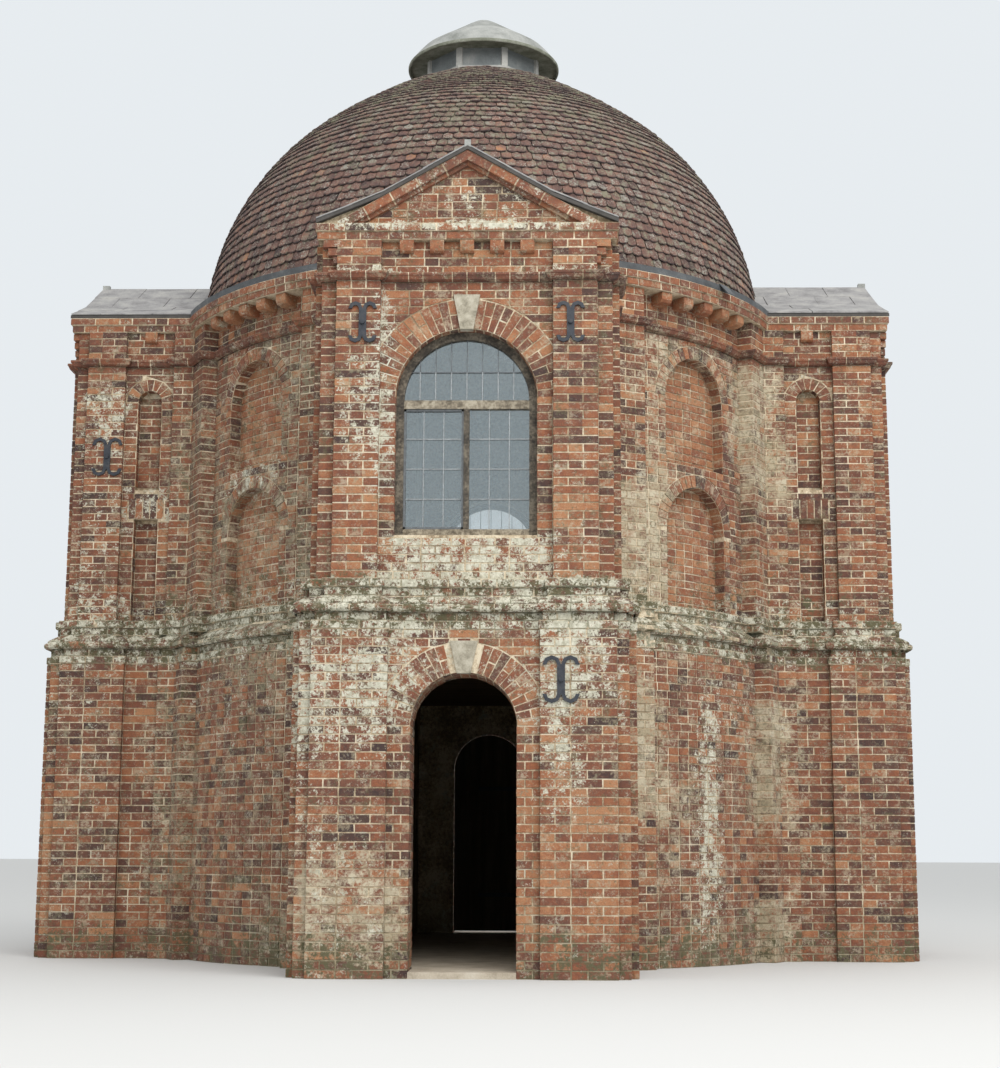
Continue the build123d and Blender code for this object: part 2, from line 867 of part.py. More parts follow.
with BuildPart() as upper_floor:
    with BuildSketch(Plane.XY.offset(ledge_base)):
        RegularPolygon(drum_inner + floor_ledge - fit_gap, chords)
        Rectangle(2 * (arm_inner_half + floor_ledge), 2 * (arm_inner_reach + floor_ledge))
        Rectangle(2 * (arm_inner_reach + floor_ledge), 2 * (arm_inner_half + floor_ledge))
    extrude(amount=upper_floor_thickness)
write(upper_floor.part, "upper_floor")

# Iron tie plates on the front, and at the other ends of their rods on the rear
TIES = [
    (tie_across, tie_up, arm_reach + proud, hook_small),
    (-tie_across, tie_up, arm_reach + proud, hook_small),
    (lower_tie_across, lower_tie_up, lower_reach + proud, hook_large),
    (arm_tie_across, arm_tie_up, arm_half + proud, hook_large),
]
with BuildPart() as tie_plates:
    for facing in (1, -1):
        for across, up, out, hook in TIES:
            plane = Plane(origin=(across, -facing * out, up), x_dir=(facing, 0, 0), z_dir=(0, -facing, 0))
            extrude(tie_face(plane, hook), amount=tie_thickness)
            with BuildSketch(plane):
                RegularPolygon(tie_bolt, tie_facets)
            extrude(amount=tie_bolt_length)
write(tie_plates.part, "tie_plates")
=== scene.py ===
# The looks of a brick garden summerhouse, in metres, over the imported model.
# Bricks, tiles, slabs and leads are laid on the walls and roofs of the frame.
import math

import bpy
import numpy as np
from mathutils import Matrix, Vector


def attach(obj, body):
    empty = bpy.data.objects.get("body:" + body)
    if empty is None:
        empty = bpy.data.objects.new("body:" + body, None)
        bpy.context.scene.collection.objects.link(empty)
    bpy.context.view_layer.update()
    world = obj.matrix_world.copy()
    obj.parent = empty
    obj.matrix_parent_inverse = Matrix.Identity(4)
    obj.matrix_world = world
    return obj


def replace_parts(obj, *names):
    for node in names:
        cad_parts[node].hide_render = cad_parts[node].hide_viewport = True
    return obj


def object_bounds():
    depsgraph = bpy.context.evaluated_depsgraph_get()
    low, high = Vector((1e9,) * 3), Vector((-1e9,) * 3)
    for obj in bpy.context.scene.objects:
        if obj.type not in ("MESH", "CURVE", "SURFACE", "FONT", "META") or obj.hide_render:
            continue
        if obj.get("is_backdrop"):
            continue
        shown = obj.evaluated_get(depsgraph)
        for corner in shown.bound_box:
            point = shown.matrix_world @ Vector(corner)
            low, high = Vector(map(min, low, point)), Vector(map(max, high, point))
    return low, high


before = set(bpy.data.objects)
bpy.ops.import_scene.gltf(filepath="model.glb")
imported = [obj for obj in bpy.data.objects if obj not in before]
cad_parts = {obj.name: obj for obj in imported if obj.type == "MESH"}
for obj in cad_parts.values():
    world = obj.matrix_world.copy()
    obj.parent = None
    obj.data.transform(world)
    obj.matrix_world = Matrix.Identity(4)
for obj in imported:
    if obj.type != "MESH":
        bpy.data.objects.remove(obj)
cad_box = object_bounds()

# Heights
COURSE = 0.067
JOINT = 0.009
LEDGE = 2.624
LOWER_COURSES = 39
NOSING_TOP = LEDGE + 6 * COURSE
UPPER_COURSES = 36
CAP_BASE = NOSING_TOP + UPPER_COURSES * COURSE
FRIEZE_BASE = CAP_BASE + COURSE
CORBEL_BASE = FRIEZE_BASE + 0.175
CORBEL_HEIGHT = 0.100
CORNICE_BASE = CORBEL_BASE + CORBEL_HEIGHT
CORNICE_TOP = CORNICE_BASE + 2 * COURSE
FRIEZE_COURSES = 4

# Plan of the arms and the drum
REACH = 3.780
HALF = 1.161
PROUD = 0.060
CORNER_STRIP = 0.122
PILASTER_OUTER = HALF - CORNER_STRIP
PILASTER_INNER = PILASTER_OUTER - 0.348
SIDE_OUTER = REACH - 0.110
SIDE_INNER = SIDE_OUTER - 0.348
NECK = 2.860
DRUM = 2.800
DRUM_PILASTER_PROUD = 0.135
DRUM_PILASTER_HALF = 0.140
DRUM_PILASTER_TURN = math.asin((HALF + PROUD + DRUM_PILASTER_HALF) / (DRUM + DRUM_PILASTER_PROUD))
STEP = 0.105
LOWER_REACH = REACH + STEP
LOWER_HALF = HALF + STEP
LOWER_PIER_OUTER = LOWER_HALF - 0.098
LOWER_PIER_INNER = LOWER_PIER_OUTER - 0.580
LOWER_SIDE_OUTER = LOWER_REACH - 0.098
LOWER_SIDE_INNER = LOWER_SIDE_OUTER - 0.580
LOWER_NECK = 2.890
LOWER_DRUM = DRUM + STEP
WALL = 0.350
ROOM_REACH = REACH - WALL
PATH_ROOT = 2.600

# Openings and niches
DOOR_HALF = 0.410
DOOR_SPRING = 1.885
DOOR_RING = 0.230
BLIND_DEPTH = 0.120
WINDOW_HALF = 0.565
WINDOW_SILL = 3.380
WINDOW_SPRING = 4.490
WINDOW_RING = 0.240
WINDOW_REVEAL = 0.100
KEY_TOP_HALF = 0.107
WINDOW_KEY_TOP = WINDOW_SPRING + WINDOW_HALF + 0.275
DOOR_KEY_TOP = DOOR_SPRING + DOOR_HALF + 0.240
NICHE_HALF = 0.390
NICHE_DEPTH = 0.120
NICHE_RING = 0.112
LOWER_NICHE_SPRING = 3.726
UPPER_NICHE_BASE = 4.298
UPPER_NICHE_SPRING = 4.897
SIDE_NICHE = 3.090
SIDE_NICHE_BASE = 4.263
SIDE_NICHE_SPRING = 5.109
SIDE_NICHE_RING = 0.110
RECESS_TOP = 3.989
SOLDIER_TOP = 4.185
SOLDIER_OVERHANG = 0.055
SIDE_NICHE_HALF = 0.112
SIDE_NICHE_DEPTH = 0.100

# Roofs
RIDGE = 6.535
RAKING_FOOT = 1.074
FLARE_HALF = 0.700
EAVE_HALF = HALF + 0.055
VERGE = REACH + 0.085
ROOF_THICKNESS = 0.030
GABLE_SLOPE = (RIDGE - CORNICE_TOP) / RAKING_FOOT
FLARE_HEIGHT = RIDGE - FLARE_HALF * GABLE_SLOPE
# the dome's curve is a round flank and a flatter crown that meets it smoothly
FLANK_RADIUS = 2.606
FLANK_OFFSET = 0.134
FLANK_CENTRE = 5.930
FLANK_TURN = math.radians(52.2)
CROWN_RADIUS = 6.050
CROWN_OFFSET = FLANK_OFFSET + (FLANK_RADIUS - CROWN_RADIUS) * math.cos(FLANK_TURN)
CROWN_CENTRE = FLANK_CENTRE + (FLANK_RADIUS - CROWN_RADIUS) * math.sin(FLANK_TURN)
DOME_THICKNESS = 0.250
LANTERN_HALF = 0.545
LANTERN_BASE = 8.690

# Windows
FRAME_WIDTH = 0.065
TRANSOM = 0.070
MULLION = 0.045
ARCH_BAR = 0.235

# Brickwork
STRETCHER = 0.225
HEADER = 0.108
BRICK_PROUD = 0.0045
BRICK_SUNK = 0.002
BRICK_EDGE = 0.003

# Cornice and gable
CORBEL_PITCH = 0.242
CORBEL_HALF = 0.056
ARM_CORBEL_OUT = 0.053
DRUM_CORBEL_OUT = 0.150
CORNICE_STEPS = (0.040, 0.055)
CORNICE_FRONT = 0.020
RAKE_DROP = 0.120
RAKE_DEPTH = 0.085
RAKE_PITCH = 0.222
RAKE_JOINT = 0.011

SIDES = {"front": 0, "right": 90, "rear": 180, "left": 270}
QUARTERS = {"front_right": 0, "rear_right": 90, "rear_left": 180, "front_left": 270}

UP = np.array((0.0, 0.0, 1.0))
RIGHT = np.array((1.0, 0.0, 0.0))
FRONT = np.array((0.0, -1.0, 0.0))


def turned(points, turn):
    """Points turned about the building's axis, in degrees."""
    a = math.radians(turn)
    matrix = np.array(((math.cos(a), -math.sin(a), 0), (math.sin(a), math.cos(a), 0), (0, 0, 1)))
    return np.asarray(points, float) @ matrix.T


class Pile:
    """Many small closed solids that become one mesh, each with a tint of its own."""

    def __init__(self, turn=0, seed=0):
        self.points = []
        self.faces = []
        self.tints = []
        self.count = 0
        self.turn = turn
        self.random = np.random.default_rng(seed)

    def add(self, points, faces, tint):
        points = np.asarray(points, float)
        self.points.append(points)
        start = self.count
        self.faces.extend(tuple(start + i for i in face) for face in faces)
        self.tints.append(np.broadcast_to(tint, (len(points), 3)))
        self.count += len(points)

    def prism(self, back, front, tint):
        """A solid between two outlines with as many points each, seen against its normal as anticlockwise."""
        n = len(back)
        sides = [(i, (i + 1) % n, n + (i + 1) % n, n + i) for i in range(n)]
        self.add(np.vstack((back, front)), [tuple(range(n))[::-1], tuple(range(n, 2 * n))] + sides, tint)

    def build(self, name, material, slot, ages=None):
        """Makes the mesh object, which rides on the building."""
        points = turned(np.vstack(self.points), self.turn)
        mesh = bpy.data.meshes.new(name)
        mesh.from_pydata(points.tolist(), [], self.faces)
        colour = np.ones((len(points), 4), np.float32)
        colour[:, :3] = np.vstack(self.tints)
        layer = mesh.attributes.new("Tint", "FLOAT_COLOR", "POINT")
        layer.data.foreach_set("color", colour.ravel())
        if ages is not None:
            layer = mesh.attributes.new("Age", "FLOAT_COLOR", "POINT")
            layer.data.foreach_set("color", ages(points).astype(np.float32).ravel())
        return show(name, mesh, material)


def show(name, mesh, material, body="building"):
    """Adds a mesh to the scene as a piece of the building."""
    mesh.materials.append(material)
    piece = bpy.data.objects.new(name, mesh)
    bpy.context.scene.collection.objects.link(piece)
    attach(piece, body)
    return piece


# Where an arm's end has brighter or darker bricks: left, right, bottom, top, change of tone
TONE_ZONES = (
    (-1.04, -0.69, 3.03, 4.00, 0.16),
    (0.69, 1.04, 3.03, 4.10, 0.16),
    (0.69, 1.04, 4.20, 4.86, -0.10),
    (0.40, 1.27, 0.20, 1.45, 0.25),
    (0.40, 0.60, 1.45, 1.90, 0.10),
    (0.10, 0.66, 1.90, 2.55, 0.15),
    (-1.27, -0.40, 0.87, 1.77, -0.08),
)


def brick_tint(random, place=None):
    """Tone, hue and a spare number for one brick. A tone near 0 is burnt dark and near 1 is pale orange."""
    tone = random.normal(0.5, 0.15)
    if random.random() < 0.11:
        tone = random.normal(0.16, 0.06)
    elif random.random() < 0.13:
        tone = random.normal(0.82, 0.08)
    if place is not None and place[1] < -3.7:
        for left, right, bottom, top, change in TONE_ZONES:
            if left < place[0] < right and bottom < place[2] < top:
                tone += change
    return np.clip((tone, random.random(), random.random()), 0.0, 1.0)


def plan3(point, z=0.0):
    """A point of the plan at a height."""
    return np.array((point[0], point[1], z))


def tinted(mean, spread):
    """A function that draws tints round a mean tone."""
    return lambda random: np.clip((random.normal(mean, spread), random.random(), random.random()), 0, 1)


# Tones of the string course, the cap moulding, the drum's cornice and the niches' backs. The niches' backs
# are pale orange brick, made paler still as painted light that lifts the shade of the recesses
old_tone = tinted(0.38, 0.14)
cap_tone = tinted(0.36, 0.12)
cornice_tone = tinted(0.54, 0.12)
niche_tone_with_painted_light = tinted(0.76, 0.12)


# Brick solids


def rectangle(x0, x1, y0, y1):
    """The outline of an uncut brick."""
    return np.array(((x0, y0), (x1, y0), (x1, y1), (x0, y1)))


def face_brick(pile, origin, along, normal, outline, tint=None, sunk=BRICK_SUNK, up=UP, proud=BRICK_PROUD):
    """A brick on a flat face. The outline is convex, anticlockwise, in (along, up) from the origin."""
    random = pile.random
    outline = np.asarray(outline, float)
    middle = outline.mean(0)
    tint = brick_tint(random, origin + middle[0] * along + middle[1] * up) if tint is None else tint
    turn = random.normal(0, 0.005)
    shifted = outline - middle
    shifted = shifted @ np.array(((math.cos(turn), math.sin(turn)), (-math.sin(turn), math.cos(turn))))
    shifted = shifted + random.normal(0, 0.0011, shifted.shape)
    size = np.linalg.norm(shifted, axis=1, keepdims=True)
    inner = shifted * np.maximum(0.3, 1 - 1.3 * BRICK_EDGE / size)
    height = proud + random.normal(0, 0.0008)
    tilt = random.normal(0, 0.0006, len(outline))

    def place(flat, out):
        flat = flat + middle
        return origin + flat[:, :1] * along + flat[:, 1:] * up + np.reshape(out, (-1, 1)) * normal

    back = place(shifted, np.full(len(outline), -sunk))
    front = place(inner, height + tilt)
    pile.prism(back, front, tint)


def corner_brick(pile, corner, along_in, along_out, length_in, length_out, z0, z1, tint=None):
    """A brick that wraps round an outer corner of a wall, whose path runs clockwise in plan."""
    random = pile.random
    tint = brick_tint(random, plan3(corner, (z0 + z1) / 2)) if tint is None else tint
    normal_in = np.array((-along_in[1], along_in[0], 0.0))
    normal_out = np.array((-along_out[1], along_out[0], 0.0))
    along_in, along_out = plan3(along_in), plan3(along_out)
    corner = plan3(corner)
    out = BRICK_PROUD + random.normal(0, 0.0006)
    easing = BRICK_EDGE + random.random() * 0.002
    start = corner - along_in * length_in
    end = corner + along_out * length_out
    ring = [
        start - normal_in * BRICK_SUNK,
        start + normal_in * out + along_in * BRICK_EDGE,
        corner + normal_in * out + (normal_out * out) - along_in * easing,
        corner + normal_in * out + (normal_out * out) + along_out * easing,
        end + normal_out * out - along_out * BRICK_EDGE,
        end - normal_out * BRICK_SUNK,
        corner - (normal_in + normal_out) * BRICK_SUNK,
    ]
    inset = np.array((0, 1, 1, 1, 1, 0, 0)) * BRICK_EDGE * 0.8
    low = [p + UP * (z0 + i) for p, i in zip(ring, inset)]
    high = [p + UP * (z1 - i) for p, i in zip(ring, inset)]
    sides = [(i + 7, (i + 1) % 7 + 7, (i + 1) % 7, i) for i in range(7)]
    top = [(13, 9, 8, 7), (13, 10, 9), (13, 12, 11, 10)]
    bottom = [(0, 1, 2, 6), (2, 3, 6), (3, 4, 5, 6)]
    pile.add(low + high, sides + top + bottom, tint)


def shares(length, parity, random, headers=0.0):
    """Starts and ends of the bricks that fill a length between two joints."""
    if length < 0.045:
        return []
    sizes = []
    total = 0.0
    stretcher = parity % 2 == 0
    while total < length + JOINT:
        nominal = STRETCHER if stretcher and random.random() >= headers else HEADER
        if nominal == HEADER and random.random() < 0.12:
            stretcher = not stretcher
        sizes.append(nominal + JOINT)
        total += sizes[-1]
        stretcher = not stretcher
    if len(sizes) > 1 and total - length - JOINT > sizes[-1] / 2:
        sizes.pop()
    sizes = np.array(sizes) * (1 + random.normal(0, 0.015, len(sizes)))
    sizes *= (length + JOINT) / sizes.sum()
    ends = np.cumsum(sizes)
    starts = ends - sizes
    return [(a, b - JOINT) for a, b in zip(starts, ends)]


def runs_of(path):
    """The corners of a path in plan, and the length and the direction of each run between them."""
    path = [np.array(p, float) for p in path]
    runs = [b - a for a, b in zip(path, path[1:])]
    lengths = [np.linalg.norm(r) for r in runs]
    return path, lengths, [r / n for r, n in zip(runs, lengths)]


def inner_corner(before, after):
    """True where a clockwise path turns into an inner corner."""
    return before[0] * after[1] - before[1] * after[0] > 0


def lay_course(pile, path, z0, z1, parity, cut=None, tone=None):
    """Bricks along a clockwise path in plan, with whole bricks round the outer corners."""
    path, lengths, alongs = runs_of(path)
    random = pile.random
    low = z0 + JOINT / 2
    high = z1 - JOINT / 2
    starts = [0.0] * len(lengths)
    ends = list(lengths)
    for i in range(1, len(lengths)):
        before, after = alongs[i - 1], alongs[i]
        if inner_corner(before, after):
            ends[i - 1] -= JOINT / 2
            starts[i] += JOINT / 2
            continue
        long_before = (i + parity) % 2 == 0
        taken_in = block_length(lengths[i - 1], long_before)
        taken_out = block_length(lengths[i], not long_before)
        tint = None if tone is None else tone(random)
        corner_brick(pile, path[i], before, after, taken_in, taken_out, low, high, tint)
        ends[i - 1] -= taken_in + JOINT
        starts[i] += taken_out + JOINT
    for i, (start, end) in enumerate(zip(starts, ends)):
        normal = np.array((-alongs[i][1], alongs[i][0], 0.0))
        for a, b in shares(end - start, parity + i, random):
            outline = rectangle(start + a, start + b, low, high)
            if cut is not None:
                outline = cut(i, path[i], alongs[i], outline)
                if outline is None:
                    continue
            tint = None if tone is None else tone(random)
            # seen from outside a clockwise path runs to the left, so the outline is turned round
            face_brick(pile, plan3(path[i]), plan3(alongs[i]), normal, outline[::-1], tint)


def block_length(length, long):
    """How far a corner brick reaches along a run of the wall."""
    if length < 0.075:
        return length - JOINT * 0.4
    if length < 0.17:
        return length - JOINT
    if length < 0.42:
        return (length - JOINT) * (0.675 if long else 0.325)
    return STRETCHER - 0.003 if long else HEADER - 0.003


# Cutting bricks round openings


def clip(outline, direction, distance):
    """The part of a convex outline that lies beyond a line."""
    kept = []
    values = outline @ np.asarray(direction) - distance
    for i, point in enumerate(outline):
        j = (i + 1) % len(outline)
        if values[i] >= 0:
            kept.append(point)
        if (values[i] >= 0) != (values[j] >= 0):
            share = values[i] / (values[i] - values[j])
            kept.append(point + share * (outline[j] - point))
    return np.array(kept) if len(kept) > 2 else None


def area(outline):
    """The area inside an outline."""
    x, y = outline[:, 0], outline[:, 1]
    return abs(np.dot(x, np.roll(y, -1)) - np.dot(y, np.roll(x, -1))) / 2


def tidy(outline):
    """Drops slivers and doubled points."""
    if outline is None:
        return None
    keep = np.linalg.norm(outline - np.roll(outline, 1, axis=0), axis=1) > 0.003
    outline = outline[keep]
    if len(outline) < 3 or area(outline) < 0.0004:
        return None
    width = outline.max(0) - outline.min(0)
    return None if width.min() < 0.010 else outline


class Arched:
    """A hole with a round head in a wall face, with a ring of voussoirs and perhaps a keystone."""

    def __init__(self, centre, half, base, spring, ring, key_half=0.0, key_top=0.0):
        self.centre = centre
        self.half = half
        self.base = base
        self.spring = spring
        self.outer = half + ring
        self.key_half = key_half
        self.key_top = key_top

    def cut(self, outline):
        """The part of an outline, in (across, up), that lies outside the hole and its ring."""
        across = outline[:, 0] - self.centre
        low, high = outline[:, 1].min(), outline[:, 1].max()
        if across.min() > self.outer + 0.02 or across.max() < -self.outer - 0.02:
            return outline
        middle = np.array((across.mean(), (low + high) / 2))
        side = 1.0 if middle[0] >= 0 else -1.0
        if self.base < middle[1] < self.spring:
            if (side * across).min() < self.half:
                outline = clip(outline, (side, 0), side * self.centre + self.half + JOINT * 0.2)
        elif middle[1] >= self.spring:
            centre = np.array((self.centre, self.spring))
            nearest = np.array((min(max(0.0, across.min()), across.max()), max(0.0, low - self.spring)))
            if np.linalg.norm(nearest) < self.outer + JOINT * 0.7:
                offset = outline.mean(0) - centre
                direction = offset / np.linalg.norm(offset)
                outline = clip(outline, direction, direction @ centre + self.outer + JOINT * 0.7)
            if outline is not None and self.key_half and outline[:, 1].min() < self.key_top:
                across = outline[:, 0] - self.centre
                if (side * across).min() < self.key_half and outline[:, 1].mean() < self.key_top:
                    outline = clip(outline, (side, 0), side * self.centre + self.key_half + JOINT * 0.7)
        return tidy(outline)


RING_BONDS = ((1.0,), (0.5, 0.5))
PLAIN_RING = ((1.0,),)


def voussoirs(pile, hole, place, curved, ring_bonds):
    """Bricks round an arch. place gives the wall's face at a distance across it."""
    depth = hole.outer - hole.half
    count = max(9, int(round(math.pi * (hole.half + depth / 2) / COURSE)))
    count += count % 2 if hole.key_half else 1 - count % 2
    step = math.pi / count
    for i in range(count):
        a0, a1 = i * step, (i + 1) * step
        middle = (a0 + a1) / 2
        if abs(math.cos(middle)) * (hole.half + depth / 2) < hole.key_half * 0.92:
            continue
        bands = ring_bonds[i % len(ring_bonds)]
        edge = 0.0
        for band in bands:
            r0 = hole.half + edge + (0.001 if edge == 0 else JOINT * 0.5)
            edge += band * depth
            r1 = hole.half + edge - (0.001 if edge >= depth - 0.001 else JOINT * 0.5)
            g0, g1 = JOINT * 0.42 / r0, JOINT * 0.42 / r1
            outline = []
            for r, a in ((r0, a0 + g0), (r1, a0 + g1), (r1, a1 - g1), (r0, a1 - g0)):
                outline.append((hole.centre + r * math.cos(a), hole.spring + r * math.sin(a)))
            outline = np.array(outline)
            origin, along, normal = place(outline[:, 0].mean())
            outline[:, 0] -= outline[:, 0].mean() if curved else 0.0
            face_brick(pile, origin, along, normal, outline)


# Plans


def outline_of(reach, half, pier_in, pier_out, side_in, side_out, neck, grow, root):
    """An arm's plan as a clockwise path from its right root round the end to its left root."""
    side = half + grow
    end = -reach - grow
    right = [
        (side + PROUD, -root),
        (side + PROUD, -neck - grow),
        (side, -neck - grow),
        (side, -side_in + grow),
        (side + PROUD, -side_in + grow),
        (side + PROUD, -side_out - grow),
        (side, -side_out - grow),
        (side, end),
        (pier_out + grow, end),
        (pier_out + grow, end - PROUD),
        (pier_in - grow, end - PROUD),
        (pier_in - grow, end),
    ]
    return right, [(-x, y) for x, y in reversed(right)]


def upper_path(grow=0.0):
    """The path round the upper storey of an arm, in two halves."""
    return outline_of(REACH, HALF, PILASTER_INNER, PILASTER_OUTER,
                      SIDE_INNER, SIDE_OUTER, NECK, grow, PATH_ROOT)


def lower_path(grow=0.0):
    """The path round the lower storey of an arm, in two halves."""
    return outline_of(LOWER_REACH, LOWER_HALF, LOWER_PIER_INNER, LOWER_PIER_OUTER,
                      LOWER_SIDE_INNER, LOWER_SIDE_OUTER, LOWER_NECK, grow, PATH_ROOT)


END_RUN = 11
SIDE_RUNS = (2, 2 * END_RUN - 2)


def arm_cut(end_hole, side_holes):
    """Cuts the bricks of the middle of the arm's end and of the recesses in its sides."""
    def cut(run, start, along, outline):
        holes, axis = [], 1
        if run == END_RUN:
            holes, axis = [end_hole], 0
        elif run in SIDE_RUNS:
            holes = side_holes
        if not holes:
            return outline
        moved = np.column_stack((start[axis] + along[axis] * outline[:, 0], outline[:, 1]))
        for hole in holes:
            moved = hole.cut(moved)
            if moved is None:
                return None
        return np.column_stack(((moved[:, 0] - start[axis]) / along[axis], moved[:, 1]))
    return cut


def reveal_paths(right, left, half, depth):
    """The two paths beside an opening in the arm's end, each turning into its reveal."""
    end = right[-1][1]
    return (right + [(half, end), (half, end + depth)], [(-half, end + depth), (-half, end)] + left)


# Zones of age, as white lichen, grey lichen, algae and lime bloom

LATTICE = np.random.default_rng(11).random((64, 64, 64))


def noise(points, scale):
    """Smooth noise from 0 to 1."""
    p = np.asarray(points) * scale + 17.3
    cell = np.floor(p).astype(int)
    f = p - cell
    f = f * f * (3 - 2 * f)
    total = np.zeros(len(p))
    for dx in (0, 1):
        for dy in (0, 1):
            for dz in (0, 1):
                weight = (f[:, 0] if dx else 1 - f[:, 0]) * (f[:, 1] if dy else 1 - f[:, 1])
                weight = weight * (f[:, 2] if dz else 1 - f[:, 2])
                total += weight * LATTICE[tuple((cell + (dx, dy, dz)).T % len(LATTICE))]
    return total


def band(values, low, high, soft):
    """1 between two limits and 0 outside, with soft edges."""
    return np.clip((values - low) / soft + 0.5, 0, 1) * np.clip((high - values) / soft + 0.5, 0, 1)


def patch(points, across, up, soft, broken):
    """1 inside a rectangle of x and z on the front, broken up by noise."""
    x, y, z = points.T
    shape = band(x, *across, soft * 0.5) * band(z, *up, soft) * (y < -3.0)
    return shape * (1 - broken * 0.5 + broken * (noise(points + 3.0, 5.0) - 0.25))


# White growth on the front, at the pier heads, beside the openings, on the apron and over the cornices:
# its amount, then left and right, bottom and top, softness of the edges, and how broken it is
APRON = (NOSING_TOP - 0.01, WINDOW_SILL + 0.02)
FRONT_GROWTH = (
    (0.42, (-1.30, -0.40), (1.80, 2.64), 0.35, 1.0),
    (0.40, (-1.30, -1.16), (0.90, 2.64), 0.30, 0.6),
    (0.38, (0.55, 1.20), (2.00, 2.64), 0.50, 1.0),
    (0.56, (0.60, 0.88), (1.20, 2.64), 0.30, 1.0),
    (0.26, (-1.20, -0.60), (0.25, 0.95), 0.30, 1.0),
    (0.50, (-0.75, -0.58), (3.72, 5.36), 0.20, 0.7),
    (0.34, (-1.05, -0.68), (4.00, 4.95), 0.40, 1.0),
    (0.62, (-0.69, 0.69), APRON, 0.04, 0.4),
    (0.80, (-1.06, 1.06), (CORNICE_TOP - 0.055, CORNICE_TOP + 0.02), 0.03, 0.5),
    (0.22, (-0.66, -0.10), (1.90, 2.55), 0.30, 1.0),
    (0.36, (-1.30, 1.30), (FRIEZE_BASE - 0.004, FRIEZE_BASE + 0.05), 0.03, 1.0),
    (0.36, (-0.62, 0.62), (CORNICE_TOP, CORNICE_TOP + 0.34), 0.25, 1.0),
    (0.45, (-1.06, -0.67), (FRIEZE_BASE - 0.004, FRIEZE_BASE + 0.07), 0.03, 0.6),
    (0.45, (0.67, 1.06), (FRIEZE_BASE - 0.004, FRIEZE_BASE + 0.07), 0.03, 0.6),
)


def side_stains(points):
    """White growth on the left arm's front and between the left drum's niches."""
    x, y, z = points.T
    arm = (y > -1.4) & (y < -1.0)
    pilaster = 0.50 * band(z, 4.60, 5.25, 0.2) + 0.22 * band(z, 3.0, 4.6, 0.3)
    white = arm * band(x, -3.75, -3.25, 0.06) * pilaster
    white += arm * band(x, -3.32, -2.85, 0.06) * band(z, 3.92, 4.30, 0.1) * 0.50
    centre = np.abs(np.arctan2(-x, -y) - math.pi / 4)
    white += band(centre, -0.2, 0.14, 0.08) * (x < 0) * (y < 0) * band(z, 4.06, 4.40, 0.1) * 0.45
    return white * (0.55 + 0.9 * (noise(points + 3.0, 5.0) - 0.25))


def ages(points):
    """How aged each point of the brickwork is."""
    x, y, z = points.T
    broad = noise(points, 1.1)
    fine = noise(points, 4.5)
    reach = np.maximum(np.abs(x), np.abs(y))
    front = (y < -3.0).astype(float)
    drum = (reach < 2.95).astype(float)
    string = band(z, LEDGE - 0.01, NOSING_TOP + 0.01, 0.03)
    slope = band(z, LEDGE + 3 * COURSE, NOSING_TOP - COURSE * 0.5, 0.03)
    ledge_top = band(z, NOSING_TOP - 0.01, NOSING_TOP + 0.22, 0.18) * (1 - front)
    growth = front * (0.17 + 0.42 * fine) + (1 - front) * (0.13 + 0.40 * fine)
    white = string * growth + slope * 0.10 + ledge_top * (0.06 + 0.36 * broad)
    white += band(z, 1.9, LEDGE, 0.9) * 0.26 * broad - 0.07 + 0.12 * broad
    white += sum(amount * patch(points, *place) for amount, *place in FRONT_GROWTH) + side_stains(points)
    # the drum is olive on the left and has pale cream patches on the right
    left = (x < 0).astype(float)
    wall = drum * band(z, -0.1, CAP_BASE, 0.1)
    turn = np.degrees(np.arctan2(np.abs(x), np.abs(y)))
    niche = wall * (np.hypot(x, y) < DRUM - 0.06)
    patches = np.clip((noise(points + 9.0, 1.7) - 0.42) * 4.0, 0, 1)
    strips = band(turn, 22, 38, 6) + band(turn, 57, 70, 5) + band(z, 2.9, 3.9, 0.4)
    pale = 0.25 + 0.75 * np.clip(strips, 0, 1)
    white += wall * (1 - left) * band(turn, 41, 47, 4) * band(z, 0.3, 2.2, 0.5) * 0.58
    grey = wall * (left * (0.10 + 0.14 * patches) + (1 - left) * 0.08 * patches) * (1 - 0.6 * niche)
    grey += 0.02 + 0.08 * patches + string * 0.14
    algae = band(z, -0.1, 0.26, 0.4) * (0.20 + 0.45 * broad) + string * (0.34 + 0.25 * fine)
    algae += wall * left * 0.06
    algae += band(z, NOSING_TOP - 0.1, NOSING_TOP + 0.35, 0.3) * 0.15 * (1 - front) + 0.03
    bloom = 0.04 * fine + wall * (1 - left) * (0.12 + 0.75 * patches) * pale * (1 - 0.85 * niche)
    bloom += front * band(z, 0.15, 0.90, 0.3) * band(x, -1.30, -0.45, 0.2) * (0.42 + 0.58 * fine)
    bloom += wall * left * (0.10 + 0.16 * patches)
    return np.clip(np.column_stack((white, grey, algae, bloom)), -0.2, 1)


# Materials


def material(name):
    """A new material, its nodes, a function that links them, and its principled shader."""
    made = bpy.data.materials.new(name)
    made.use_nodes = True
    nodes = made.node_tree.nodes
    links = made.node_tree.links
    shader = nodes["Principled BSDF"]

    def node(kind, **values):
        item = nodes.new(kind)
        for key, value in values.items():
            if key in item.bl_rna.properties:
                setattr(item, key, value)
            else:
                item.inputs[key].default_value = value
        return item

    def link(source, target):
        links.new(source, target)

    return made, node, link, shader


def ramp(node, link, factor, stops):
    """A colour ramp over a factor."""
    item = node("ShaderNodeValToRGB")
    elements = item.color_ramp.elements
    while len(elements) < len(stops):
        elements.new(0.5)
    for element, (place, colour) in zip(elements, stops):
        element.position = place
        element.color = (*colour, 1)
    link(factor, item.inputs["Fac"])
    return item.outputs["Color"]


